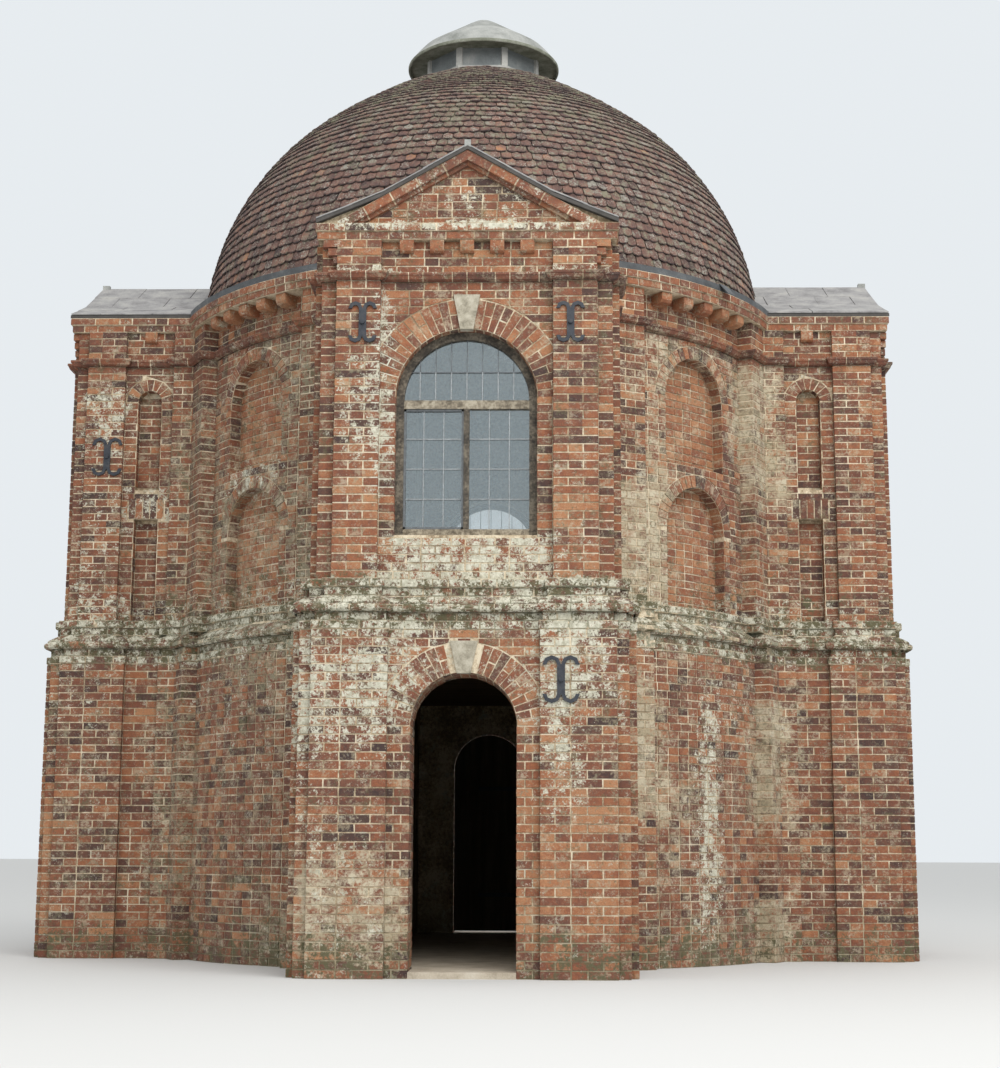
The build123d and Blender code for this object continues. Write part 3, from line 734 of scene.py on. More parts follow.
def mix(node, link, factor, first, second):
    """Two colours mixed by a factor, each a socket or a plain value."""
    item = node("ShaderNodeMix", data_type="RGBA")
    for socket, value in ((item.inputs["Factor"], factor), (item.inputs[6], first), (item.inputs[7], second)):
        if isinstance(value, bpy.types.NodeSocket):
            link(value, socket)
        else:
            socket.default_value = value if isinstance(value, float) else (*value, 1)
    return item.outputs[2]


def maths(node, link, operation, *values, clamp=False):
    """A sum over sockets and plain values."""
    item = node("ShaderNodeMath", operation=operation, use_clamp=clamp)
    for socket, value in zip(item.inputs, values):
        if isinstance(value, bpy.types.NodeSocket):
            link(value, socket)
        else:
            socket.default_value = value
    return item.outputs[0]


def speckle(node, link, scale, detail=4.0, roughness=0.6, low=0.0, high=1.0, offset=0.0):
    """Noise over the object's own coordinates, stretched between two limits."""
    place = node("ShaderNodeTexCoord").outputs["Object"]
    if offset:
        shift = node("ShaderNodeMapping")
        shift.inputs["Location"].default_value = (offset, offset * 0.7, offset * 1.3)
        link(place, shift.inputs["Vector"])
        place = shift.outputs["Vector"]
    item = node("ShaderNodeTexNoise", Scale=scale, Detail=detail, Roughness=roughness)
    link(place, item.inputs["Vector"])
    if (low, high) == (0.0, 1.0):
        return item.outputs["Fac"]
    spread = node("ShaderNodeMapRange")
    spread.inputs["From Min"].default_value = low
    spread.inputs["From Max"].default_value = high
    link(item.outputs["Fac"], spread.inputs["Value"])
    return spread.outputs["Result"]


def bump(node, link, shader, height, strength, distance):
    """Roughens a shader's surface by a height."""
    item = node("ShaderNodeBump", Strength=strength, Distance=distance)
    link(height, item.inputs["Height"])
    link(item.outputs["Normal"], shader.inputs["Normal"])


def over(node, link, base, amount, grain, colour, softness=0.16):
    """Growth over a base colour where its grain passes under the amount."""
    gap = maths(node, link, "SUBTRACT", amount, grain)
    edge = maths(node, link, "DIVIDE", gap, softness)
    cover = maths(node, link, "ADD", edge, 0.5, clamp=True)
    return mix(node, link, cover, base, colour)


WHITE_LICHEN = (0.67, 0.66, 0.55)
DULL_LICHEN = (0.40, 0.385, 0.29)
GREY_LICHEN = (0.25, 0.225, 0.15)
ALGAE = (0.115, 0.105, 0.055)
LIME = (0.58, 0.52, 0.385)
DULL_LIME = (0.40, 0.335, 0.225)


def mottle(node, link, coarse, fine, offset):
    """Patches and specks together, from 0 to 1."""
    both = maths(node, link, "ADD", speckle(node, link, coarse, 4.0, 0.6, offset=offset),
                 speckle(node, link, fine, 4.0, 0.75, offset=offset + 2.0))
    spread = node("ShaderNodeMapRange")
    spread.inputs["From Min"].default_value = 0.80
    spread.inputs["From Max"].default_value = 1.20
    link(both, spread.inputs["Value"])
    return spread.outputs["Result"]


def separated(node, link, attribute):
    """The four channels of a colour attribute."""
    read = node("ShaderNodeAttribute", attribute_name=attribute)
    parts = node("ShaderNodeSeparateColor")
    link(read.outputs["Color"], parts.inputs["Color"])
    return (*parts.outputs[:3], read.outputs["Alpha"])


def brick_material():
    """Brick by the tint of each one, under the growths of its age."""
    made, node, link, shader = material("brick")
    tone, hue = separated(node, link, "Tint")[:2]
    white, grey, algae, bloom = separated(node, link, "Age")
    wander = maths(node, link, "SUBTRACT", mottle(node, link, 14.0, 70.0, 0.0), 0.5)
    tone = maths(node, link, "ADD", tone, maths(node, link, "MULTIPLY", wander, 0.26))
    base = ramp(node, link, tone, (
        (0.06, (0.046, 0.028, 0.028)),
        (0.28, (0.125, 0.052, 0.037)),
        (0.50, (0.226, 0.076, 0.041)),
        (0.72, (0.350, 0.126, 0.055)),
        (0.95, (0.480, 0.230, 0.110)),
    ))
    base = mix(node, link, maths(node, link, "MULTIPLY", hue, 0.20), base, (0.22, 0.115, 0.070))
    pits = speckle(node, link, 170.0, 3.0, 0.7, 0.40, 0.60)
    base = mix(node, link, maths(node, link, "MULTIPLY", pits, 0.30), base, (0.085, 0.050, 0.040))
    lime = mix(node, link, hue, DULL_LIME, LIME)
    bloom = maths(node, link, "MULTIPLY", bloom, 0.80)
    base = over(node, link, base, bloom, mottle(node, link, 9.0, 45.0, 9.0), lime, 0.7)
    base = over(node, link, base, grey, mottle(node, link, 16.0, 60.0, 3.1), GREY_LICHEN, 0.40)
    base = over(node, link, base, algae, mottle(node, link, 6.0, 32.0, 6.2), ALGAE, 0.35)
    shades = speckle(node, link, 26.0, 5.0, 0.7, 0.36, 0.60, offset=5.0)
    pale = mix(node, link, shades, DULL_LICHEN, WHITE_LICHEN)
    base = over(node, link, base, white, mottle(node, link, 12.0, 62.0, 12.0), pale, 0.26)
    link(base, shader.inputs["Base Color"])
    shader.inputs["Roughness"].default_value = 0.88
    bump(node, link, shader, mottle(node, link, 40.0, 130.0, 1.0), 0.65, 0.004)
    return made


def position(node, link):
    """The object's own coordinates."""
    parts = node("ShaderNodeSeparateXYZ")
    link(node("ShaderNodeTexCoord").outputs["Object"], parts.inputs[0])
    return parts.outputs


def within(node, link, value, low, high, soft):
    """1 where a value lies between two limits."""
    over_low = maths(node, link, "SUBTRACT", value, low - soft / 2)
    under_high = maths(node, link, "SUBTRACT", high + soft / 2, value)
    rise, fall = (maths(node, link, "DIVIDE", gap, soft, clamp=True) for gap in (over_low, under_high))
    return maths(node, link, "MULTIPLY", rise, fall)


def mortar_material():
    """Lime mortar outside, and limewash on the walls within."""
    made, node, link, shader = material("mortar")
    base = ramp(node, link, mottle(node, link, 3.0, 30.0, 0.0), (
        (0.10, (0.27, 0.205, 0.132)),
        (0.50, (0.50, 0.405, 0.275)),
        (0.90, (0.70, 0.615, 0.465)),
    ))
    x, y, z = position(node, link)
    low = within(node, link, z, -0.2, 0.35, 0.5)
    string = within(node, link, z, LEDGE, NOSING_TOP + 0.02, 0.05)
    grain = mottle(node, link, 7.0, 38.0, 12.0)
    base = mix(node, link, maths(node, link, "MULTIPLY", low, 0.6), base, (0.15, 0.14, 0.08))
    base = over(node, link, base, maths(node, link, "MULTIPLY", string, 0.5), grain, (0.24, 0.24, 0.17), 0.4)
    # white smears on the front, left of the window
    smear = within(node, link, x, -0.76, -0.57, 0.05)
    for value, limits in ((z, (3.7, 5.4, 0.2)), (y, (-4.5, -3.7, 0.02))):
        smear = maths(node, link, "MULTIPLY", smear, within(node, link, value, *limits))
    base = over(node, link, base, maths(node, link, "MULTIPLY", smear, 0.75), grain, WHITE_LICHEN, 0.3)
    link(base, shader.inputs["Base Color"])
    shader.inputs["Roughness"].default_value = 0.93
    bump(node, link, shader, speckle(node, link, 90.0, 6.0, 0.7), 0.6, 0.004)
    return made


def plain_material(name, stops, scale, roughness, depth, metallic=0.0, stretch=None):
    """A material whose colour wanders between a few stops."""
    made, node, link, shader = material(name)
    place = node("ShaderNodeTexCoord").outputs["Object"]
    if stretch:
        squeeze = node("ShaderNodeMapping")
        squeeze.inputs["Scale"].default_value = stretch
        link(place, squeeze.inputs["Vector"])
        place = squeeze.outputs["Vector"]
    grain = node("ShaderNodeTexNoise", Scale=scale, Detail=7.0, Roughness=0.65)
    link(place, grain.inputs["Vector"])
    small = node("ShaderNodeTexNoise", Scale=80.0, Detail=5.0, Roughness=0.7)
    link(place, small.inputs["Vector"])
    blend = maths(node, link, "ADD", maths(node, link, "MULTIPLY", grain.outputs["Fac"], 0.7),
                  maths(node, link, "MULTIPLY", small.outputs["Fac"], 0.3))
    link(ramp(node, link, blend, stops), shader.inputs["Base Color"])
    shader.inputs["Roughness"].default_value = roughness
    shader.inputs["Metallic"].default_value = metallic
    bump(node, link, shader, small.outputs["Fac"], 0.5, depth)
    return made


def tile_material():
    """Clay tile by the tint of each one, which also carries a painted shadow on each tile's lower edge, with
    lichen that grows thicker towards the crown.
    """
    made, node, link, shader = material("roof_tile")
    tone, lichen, chance = separated(node, link, "Tint")[:3]
    wander = maths(node, link, "SUBTRACT", mottle(node, link, 12.0, 60.0, 0.0), 0.5)
    tone = maths(node, link, "ADD", tone, maths(node, link, "MULTIPLY", wander, 0.40))
    base = ramp(node, link, tone, (
        (0.08, (0.048, 0.034, 0.034)),
        (0.35, (0.115, 0.067, 0.058)),
        (0.60, (0.188, 0.102, 0.080)),
        (0.80, (0.245, 0.132, 0.097)),
        (0.98, (0.380, 0.185, 0.095)),
    ))
    z = position(node, link)[2]
    grain = mottle(node, link, 16.0, 65.0, 3.0)
    cream = mix(node, link, chance, (0.215, 0.200, 0.135), (0.270, 0.258, 0.225))
    base = over(node, link, base, lichen, grain, cream, 0.28)
    specks = speckle(node, link, 75.0, 5.0, 0.7, 0.34, 0.70, offset=4.0)
    speck_share = maths(node, link, "MULTIPLY", chance, 0.22)
    base = over(node, link, base, speck_share, specks, (0.46, 0.45, 0.39), 0.12)
    high = maths(node, link, "MULTIPLY", within(node, link, z, 7.6, 9.0, 1.4), 0.34)
    base = over(node, link, base, high, mottle(node, link, 6.0, 40.0, 7.0), (0.215, 0.208, 0.145), 0.5)
    link(base, shader.inputs["Base Color"])
    shader.inputs["Roughness"].default_value = 0.86
    bump(node, link, shader, mottle(node, link, 35.0, 110.0, 1.0), 0.8, 0.005)
    return made


def frame_material():
    """Dark weathered oak, paler on the transom and the bottom rail."""
    made, node, link, shader = material("weathered_frame")
    grain = mottle(node, link, 7.0, 45.0, 2.0)
    dark = ramp(node, link, grain, (
        (0.1, (0.036, 0.031, 0.025)),
        (0.5, (0.088, 0.075, 0.058)),
        (0.9, (0.190, 0.165, 0.125)),
    ))
    pale = ramp(node, link, grain, (
        (0.1, (0.110, 0.092, 0.066)),
        (0.5, (0.245, 0.210, 0.155)),
        (0.9, (0.400, 0.360, 0.280)),
    ))
    x, y, z = position(node, link)
    across = maths(node, link, "MINIMUM", *(maths(node, link, "ABSOLUTE", value) for value in (x, y)))
    rail = maths(node, link, "ADD", within(node, link, z, WINDOW_SPRING - TRANSOM, WINDOW_SPRING, 0.004),
                 within(node, link, z, WINDOW_SILL - 0.1, WINDOW_SILL + FRAME_WIDTH, 0.004), clamp=True)
    light = within(node, link, across, -1.0, WINDOW_HALF - FRAME_WIDTH, 0.004)
    rail = maths(node, link, "MULTIPLY", rail, light)
    link(mix(node, link, rail, dark, pale), shader.inputs["Base Color"])
    shader.inputs["Roughness"].default_value = 0.85
    bump(node, link, shader, grain, 0.5, 0.002)
    return made


def glass_material():
    """Old leaded glass that mirrors the sky and lets some light through."""
    made, node, link, shader = material("leaded_glass")
    nodes = made.node_tree.nodes
    clear = node("ShaderNodeBsdfTransparent")
    clear.inputs["Color"].default_value = (0.98, 0.99, 0.99, 1)
    mirror = node("ShaderNodeBsdfGlossy")
    mirror.inputs["Roughness"].default_value = 0.10
    mirror.inputs["Color"].default_value = (0.84, 0.94, 0.97, 1)
    dust = node("ShaderNodeBsdfDiffuse")
    dust.inputs["Color"].default_value = (0.20, 0.225, 0.235, 1)
    wave = node("ShaderNodeBump", Strength=0.25, Distance=0.01)
    link(speckle(node, link, 5.0, 2.0, 0.5), wave.inputs["Height"])
    link(wave.outputs["Normal"], mirror.inputs["Normal"])
    first = node("ShaderNodeMixShader")
    first.inputs[0].default_value = 0.20
    link(clear.outputs[0], first.inputs[1])
    link(mirror.outputs[0], first.inputs[2])
    second = node("ShaderNodeMixShader")
    link(maths(node, link, "MULTIPLY", speckle(node, link, 4.0, 5.0, 0.6, 0.2, 0.8), 0.12), second.inputs[0])
    link(first.outputs[0], second.inputs[1])
    link(dust.outputs[0], second.inputs[2])
    link(second.outputs[0], nodes["Material Output"].inputs["Surface"])
    nodes.remove(shader)
    return made


BRICK = brick_material()
MORTAR = mortar_material()
TILE = tile_material()
STONE = plain_material("weathered_stone", (
    (0.32, (0.17, 0.155, 0.115)), (0.50, (0.38, 0.350, 0.275)), (0.70, (0.58, 0.55, 0.46)),
), 14.0, 0.9, 0.005)
SLATE = plain_material("grey_slabs", (
    (0.35, (0.175, 0.170, 0.172)), (0.50, (0.290, 0.288, 0.290)), (0.68, (0.43, 0.425, 0.40)),
), 5.0, 0.85, 0.004)
ROOF_BODY = plain_material("roof_body", (
    (0.35, (0.045, 0.043, 0.040)), (0.60, (0.085, 0.080, 0.075)),
), 9.0, 0.9, 0.003)
LEAD = plain_material("old_lead", (
    (0.32, (0.100, 0.115, 0.120)), (0.50, (0.175, 0.195, 0.200)), (0.70, (0.29, 0.30, 0.29)),
), 4.0, 0.6, 0.003, 0.08)
PALE_LEAD = plain_material("pale_lead", (
    (0.32, (0.24, 0.245, 0.235)), (0.50, (0.38, 0.385, 0.37)), (0.70, (0.50, 0.50, 0.47)),
), 8.0, 0.7, 0.003)
CAP_LEAD = plain_material("lichened_lead", (
    (0.34, (0.17, 0.180, 0.165)), (0.50, (0.30, 0.312, 0.300)), (0.66, (0.41, 0.420, 0.400)),
), 5.0, 0.75, 0.004)
RIM_LEAD = plain_material("mossy_lead", (
    (0.34, (0.085, 0.092, 0.060)), (0.50, (0.18, 0.19, 0.15)), (0.70, (0.34, 0.35, 0.31)),
), 9.0, 0.8, 0.004)
FRAME_WOOD = frame_material()
IRON = plain_material("dark_iron", (
    (0.35, (0.014, 0.018, 0.026)), (0.55, (0.034, 0.040, 0.052)), (0.75, (0.085, 0.070, 0.058)),
), 20.0, 0.6, 0.002)
GUTTER_LEAD = plain_material("gutter_lead", (
    (0.35, (0.038, 0.042, 0.046)), (0.55, (0.085, 0.092, 0.098)), (0.75, (0.19, 0.20, 0.20)),
), 6.0, 0.7, 0.003)
OAK = plain_material("dark_oak", (
    (0.32, (0.030, 0.024, 0.018)), (0.52, (0.075, 0.058, 0.042)), (0.72, (0.14, 0.115, 0.085)),
), 12.0, 0.8, 0.003, stretch=(1, 1, 0.08))
FLOOR_STONE = plain_material("paving_stone", (
    (0.34, (0.34, 0.29, 0.22)), (0.50, (0.50, 0.44, 0.35)), (0.68, (0.60, 0.55, 0.46)),
), 5.0, 0.85, 0.004)
BOARDS = plain_material("floor_boards", (
    (0.34, (0.10, 0.07, 0.045)), (0.50, (0.20, 0.14, 0.09)), (0.68, (0.30, 0.22, 0.15)),
), 6.0, 0.75, 0.002, stretch=(0.1, 1, 1))
CAME = plain_material("came_lead", (
    (0.35, (0.17, 0.185, 0.195)), (0.60, (0.36, 0.385, 0.395)),
), 30.0, 0.6, 0.001)
DARK_CAME = plain_material("dark_came", (
    (0.35, (0.075, 0.085, 0.095)), (0.60, (0.15, 0.165, 0.175)),
), 30.0, 0.6, 0.001)
GLASS = glass_material()

NODE_MATERIALS = {
    "roof": ROOF_BODY, "dome": ROOF_BODY, "gutter": GUTTER_LEAD, "apex_caps": CAP_LEAD, "lantern": LEAD,
    "lantern_cap": CAP_LEAD, "keystones": STONE, "window_frames": FRAME_WOOD, "window_glass": GLASS,
    "door": OAK, "door_straps": IRON, "door_pintles": IRON, "tie_plates": IRON,
    "ground_floor": FLOOR_STONE, "upper_floor": BOARDS,
}


def dress_nodes():
    """Gives each node of the frame its material. Walls get mortar, which shows between the bricks."""
    for name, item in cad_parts.items():
        chosen = MORTAR
        for ending in sorted(NODE_MATERIALS, key=len):
            if name.endswith(ending):
                chosen = NODE_MATERIALS[ending]
        item.data.materials.clear()
        item.data.materials.append(chosen)
        for polygon in item.data.polygons:
            polygon.use_smooth = False
    pale_faces("lantern", PALE_LEAD, lambda x, y, z: math.hypot(x, y) > LANTERN_HALF + 0.015)


def pale_faces(name, chosen, test):
    """Gives some faces of a node a second material, by where their middles lie."""
    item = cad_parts[name]
    item.data.materials.append(chosen)
    for polygon in item.data.polygons:
        if test(*(item.matrix_world @ polygon.center)):
            polygon.material_index = 1


# Walls of the arms


def end_place(reach):
    """Where a flat face across the arm's end lies."""
    return lambda across: (FRONT * reach, RIGHT, FRONT)


def side_place(flip):
    """Where the recessed face of an arm's side lies, seen by its distance from the middle."""
    return lambda across: (RIGHT * flip * HALF, FRONT, RIGHT * flip)


def arm_lower(side, turn, doorway, seed):
    """Bricks of an arm's lower storey."""
    pile = Pile(turn, seed)
    right, left = lower_path()
    height = LEDGE / LOWER_COURSES
    hole = Arched(0.0, DOOR_HALF, -1.0, DOOR_SPRING, DOOR_RING, KEY_TOP_HALF, DOOR_KEY_TOP)
    cut = arm_cut(hole, [])
    depth = LOWER_REACH - ROOM_REACH if doorway else BLIND_DEPTH
    for course in range(LOWER_COURSES):
        z0 = course * height
        z1 = z0 + height
        if (z0 + z1) / 2 < DOOR_SPRING:
            for path in reveal_paths(right, left, DOOR_HALF, depth):
                lay_course(pile, path, z0, z1, course)
        else:
            lay_course(pile, right + left, z0, z1, course, cut)
        if not doorway:
            back = [(DOOR_HALF, -LOWER_REACH + depth), (-DOOR_HALF, -LOWER_REACH + depth)]
            lay_course(pile, back, z0, z1, course, blind_cut)
    voussoirs(pile, hole, end_place(LOWER_REACH), False, RING_BONDS)
    soffit(pile, np.array((0.0, -LOWER_REACH, DOOR_SPRING)), -FRONT, DOOR_HALF, depth)
    pile.build(f"{side}_lower_bricks", BRICK, "brick", ages)


def blind_cut(run, start, along, outline):
    """Keeps the bricks of a blind arch's back inside its round head."""
    across = start[0] + along[0] * outline[:, 0]
    if outline[:, 1].max() < DOOR_SPRING:
        return outline
    inner = np.column_stack((across, outline[:, 1]))
    centre = np.array((0.0, DOOR_SPRING))
    offset = inner.mean(0) - centre
    direction = offset / np.linalg.norm(offset)
    inner = tidy(clip(inner, -direction, -(direction @ centre) - DOOR_HALF))
    if inner is None:
        return None
    return np.column_stack(((inner[:, 0] - start[0]) / along[0], inner[:, 1]))


def soffit(pile, middle, inward, half, depth, radius=0.0):
    """Bricks of the underside of an arch, from its front circle's centre. radius is that of a round wall."""
    across = np.cross(inward, UP)
    count = int(round(math.pi * half / COURSE))
    step = math.pi / count
    width = half * step / 2 - JOINT * 0.45
    for i in range(count):
        angle = (i + 0.5) * step
        out = across * math.cos(angle) + UP * math.sin(angle)
        along = UP * math.cos(angle) - across * math.sin(angle)
        bend = radius - math.sqrt(radius ** 2 - (half * math.cos(angle)) ** 2) if radius else 0.0
        for a, b in shares(depth - JOINT, i, pile.random):
            outline = rectangle(a + JOINT + bend, b + JOINT + bend, width, -width)
            face_brick(pile, middle + out * half, inward, -out, outline, up=along, proud=0.003)


def arm_upper(side, turn, seed):
    """Bricks of an arm's upper storey."""
    pile = Pile(turn, seed)
    right, left = upper_path()
    window = Arched(0.0, WINDOW_HALF, WINDOW_SILL, WINDOW_SPRING, WINDOW_RING, KEY_TOP_HALF, WINDOW_KEY_TOP)
    niche = Arched(-SIDE_NICHE, SIDE_NICHE_HALF, SIDE_NICHE_BASE, SIDE_NICHE_SPRING, SIDE_NICHE_RING)
    cut = arm_cut(window, [niche, RecessCut(-SIDE_NICHE, SIDE_NICHE_HALF, RECESS_TOP)])
    for course in range(UPPER_COURSES):
        z0 = NOSING_TOP + course * COURSE
        z1 = z0 + COURSE
        middle = (z0 + z1) / 2
        if WINDOW_SILL < middle < WINDOW_SPRING:
            for path in reveal_paths(right, left, WINDOW_HALF, WINDOW_REVEAL):
                lay_course(pile, path, z0, z1, course, cut_side_only(cut))
        else:
            lay_course(pile, right + left, z0, z1, course, cut)
        for flip in (1, -1):
            side_niche_back(pile, flip, z0, z1, course)
    voussoirs(pile, window, end_place(REACH), False, RING_BONDS)
    soffit(pile, np.array((0.0, -REACH, WINDOW_SPRING)), -FRONT, WINDOW_HALF, WINDOW_REVEAL)
    hole = Arched(SIDE_NICHE, SIDE_NICHE_HALF, SIDE_NICHE_BASE, SIDE_NICHE_SPRING, SIDE_NICHE_RING)
    for flip in (1, -1):
        voussoirs(pile, hole, side_place(flip), False, PLAIN_RING)
        middle = np.array((flip * HALF, -SIDE_NICHE, SIDE_NICHE_SPRING))
        soffit(pile, middle, -flip * RIGHT, SIDE_NICHE_HALF, SIDE_NICHE_DEPTH)
        soldiers(pile, flip)
    pile.build(f"{side}_upper_bricks", BRICK, "brick", ages)


def cut_side_only(cut):
    """The same cut for the two paths beside the window, whose runs are counted anew."""
    def chosen(run, start, along, outline):
        if abs(along[1]) > 0.9 and abs(abs(start[0]) - HALF) < 0.001:
            return cut(SIDE_RUNS[0], start, along, outline)
        return outline
    return chosen


class RecessCut:
    """A recess with a flat head under a row of soldier bricks."""

    def __init__(self, centre, half, top):
        self.centre = centre
        self.half = half
        self.top = top

    def cut(self, outline):
        across = outline[:, 0] - self.centre
        low, high = outline[:, 1].min(), outline[:, 1].max()
        if low > self.top + STRETCHER or min(abs(across.min()), abs(across.max())) > 1.0:
            return outline
        half = self.half if (low + high) / 2 < self.top else self.half + 0.06
        if across.min() > half or across.max() < -half or (low + high) / 2 > self.top + 0.2:
            return outline
        side = 1.0 if across.mean() >= 0 else -1.0
        return tidy(clip(outline, (side, 0), side * self.centre + half + JOINT * 0.4))


def soldiers(pile, flip):
    """Five bricks on end over the recess of an arm's side."""
    reach = SIDE_NICHE_HALF + SOLDIER_OVERHANG
    width = 2 * reach / 5
    low = RECESS_TOP + 0.003
    for i in range(5):
        a = SIDE_NICHE - SIDE_NICHE_HALF - SOLDIER_OVERHANG + i * width + JOINT / 2
        b = a + width - JOINT
        face_brick(pile, *side_place(flip)(0), rectangle(a, b, low, SOLDIER_TOP)[::flip])


def side_niche_back(pile, flip, z0, z1, course):
    """Bricks of the back and the reveals of the niche and the recess in an arm's side."""
    low, high = z0 + JOINT / 2, z1 - JOINT / 2
    arch_top = SIDE_NICHE_SPRING + SIDE_NICHE_HALF
    if not (high < RECESS_TOP or (low > SIDE_NICHE_BASE - 0.008 and high < arch_top)):
        return
    half = SIDE_NICHE_HALF - 0.004
    if low > SIDE_NICHE_SPRING:
        half = math.sqrt(max(0.0, SIDE_NICHE_HALF ** 2 - (high - SIDE_NICHE_SPRING) ** 2)) - 0.004
    if half < 0.02:
        return
    back = RIGHT * flip * (HALF - SIDE_NICHE_DEPTH)
    pieces = [(-half, half)] if course % 2 else [(-half, -JOINT / 2), (JOINT / 2, half)]
    for a, b in pieces:
        outline = rectangle(a + SIDE_NICHE, b + SIDE_NICHE, low, high)
        face_brick(pile, back, FRONT, RIGHT * flip, outline[::flip])
    if low > SIDE_NICHE_SPRING:
        return
    inner, outer = 0.004, SIDE_NICHE_DEPTH - 0.006
    for end in (-1, 1):
        corner = back + FRONT * (SIDE_NICHE - end * SIDE_NICHE_HALF)
        outline = rectangle(inner, outer, low, high)[::end * flip]
        face_brick(pile, corner, RIGHT * flip, FRONT * end, outline)


# Walls of the drum


def drum_frame(angle, radius):
    """Origin, direction and normal of a flat brick on the drum, at an angle from the front arm."""
    normal = np.array((math.sin(angle), -math.cos(angle), 0.0))
    along = np.array((math.cos(angle), math.sin(angle), 0.0))
    return normal * radius, along, normal


def pilaster_paths(radius, root, grow=0.0):
    """Clockwise paths round the two pilasters of a drum quadrant, from a root inside the wall."""
    paths = []
    for turn, flip in ((DRUM_PILASTER_TURN, 1), (math.pi / 2 - DRUM_PILASTER_TURN, -1)):
        along, normal = drum_frame(turn, 1.0)[1:]
        half = flip * (DRUM_PILASTER_HALF + grow)
        reach = radius + DRUM_PILASTER_PROUD + grow
        points = [normal * out + along * across
                  for across, out in ((half, root), (half, reach), (-half, reach), (-half, radius))]
        path = [(p[0], p[1]) for p in points]
        paths.append(path if flip > 0 else path[::-1])
    return paths


def drum_pilasters(pile, radius, z0, z1, course, grow=0.0):
    """Bricks round the two pilasters of a drum quadrant."""
    root = math.sqrt(radius ** 2 - (DRUM_PILASTER_HALF + grow) ** 2) - 0.01
    for path in pilaster_paths(radius, root, grow):
        lay_course(pile, path, z0, z1, course)


def lay_arc(pile, radius, z0, z1, parity, start, end, holes=(), headers=0.85, inside=None, tone=None):
    """Flat bricks round a curved wall between two angles."""
    low, high = z0 + JOINT / 2, z1 - JOINT / 2
    length = (end - start) * radius
    for a, b in shares(length - JOINT, parity, pile.random, headers):
        s0 = start * radius + a + JOINT / 2 - math.pi / 4 * radius
        s1 = s0 + b - a
        outline = rectangle(s0, s1, low, high)
        for hole in holes:
            outline = None if outline is None else hole.cut(outline)
        if outline is not None and inside is not None:
            outline = inside(outline)
        if outline is None:
            continue
        middle = outline[:, 0].mean()
        origin, along, normal = drum_frame(math.pi / 4 + middle / radius, radius)
        outline = outline - np.array((middle, 0.0))
        tint = None if tone is None else tone(pile.random)
        face_brick(pile, origin, along, normal, outline, tint, sunk=0.006)


def drum_arc_ends(radius):
    """Angles between which the drum's wall shows, from one pilaster to the other."""
    start = DRUM_PILASTER_TURN + math.asin(DRUM_PILASTER_HALF / radius)
    return start, math.pi / 2 - start


def drum_lower(quarter, turn, seed):
    """Bricks of a drum quadrant's lower storey."""
    pile = Pile(turn, seed)
    height = LEDGE / LOWER_COURSES
    start, end = drum_arc_ends(LOWER_DRUM)
    for course in range(LOWER_COURSES):
        z0 = course * height
        drum_pilasters(pile, LOWER_DRUM, z0, z0 + height, course)
        lay_arc(pile, LOWER_DRUM, z0, z0 + height, course, start, end)
    pile.build(f"{quarter}_lower_drum_bricks", BRICK, "brick", ages)


def drum_upper(quarter, turn, seed):
    """Bricks of a drum quadrant's upper storey, with its two niches."""
    pile = Pile(turn, seed)
    start, end = drum_arc_ends(DRUM)
    tiers = ((NOSING_TOP - 1.0, LOWER_NICHE_SPRING), (UPPER_NICHE_BASE, UPPER_NICHE_SPRING))
    niches = [Arched(0.0, NICHE_HALF, base, spring, NICHE_RING) for base, spring in tiers]
    back = DRUM - NICHE_DEPTH
    back_half = math.asin(NICHE_HALF / back)
    for course in range(UPPER_COURSES):
        z0 = NOSING_TOP + course * COURSE
        z1 = z0 + COURSE
        middle = (z0 + z1) / 2
        drum_pilasters(pile, DRUM, z0, z1, course)
        lay_arc(pile, DRUM, z0, z1, course, start, end, niches)
        for hole in niches:
            if not max(hole.base, NOSING_TOP) < middle < hole.spring + hole.half:
                continue
            # the bricks at the niche's back take a pale tone that is partly their own and partly painted
            # light against the shade of the recess
            lay_arc(pile, back, z0, z1, course, math.pi / 4 - back_half, math.pi / 4 + back_half,
                    headers=0.7, inside=inside_arch(hole), tone=niche_tone_with_painted_light)
            if middle < hole.spring:
                niche_reveals(pile, z0, z1)
    normal = drum_frame(math.pi / 4, DRUM)[2]
    for hole in niches:
        soffit(pile, normal * DRUM + UP * hole.spring, -normal, NICHE_HALF, NICHE_DEPTH, DRUM)
        voussoirs(pile, hole, lambda across: drum_frame(math.pi / 4 + across / DRUM, DRUM), True, PLAIN_RING)
    pile.build(f"{quarter}_upper_drum_bricks", BRICK, "brick", ages)


def inside_arch(hole):
    """Keeps the bricks of a niche's back under its round head."""
    def keep(outline):
        if outline[:, 1].mean() < hole.spring:
            return outline
        centre = np.array((0.0, hole.spring))
        offset = outline.mean(0) - centre
        direction = offset / np.linalg.norm(offset)
        return tidy(clip(outline, -direction, -(direction @ centre) - hole.half))
    return keep


def niche_reveals(pile, z0, z1):
    """A header on each side of a drum niche."""
    along, normal = drum_frame(math.pi / 4, 1.0)[1:]
    low, high = z0 + JOINT / 2, z1 - JOINT / 2
    outer = math.sqrt(DRUM ** 2 - NICHE_HALF ** 2) - 0.004
    inner = math.sqrt((DRUM - NICHE_DEPTH) ** 2 - NICHE_HALF ** 2) + 0.006
    for flip in (1, -1):
        outline = rectangle(inner, outer, low, high)[::flip]
        face_brick(pile, along * flip * NICHE_HALF, normal, -along * flip, outline)


# Moulded courses

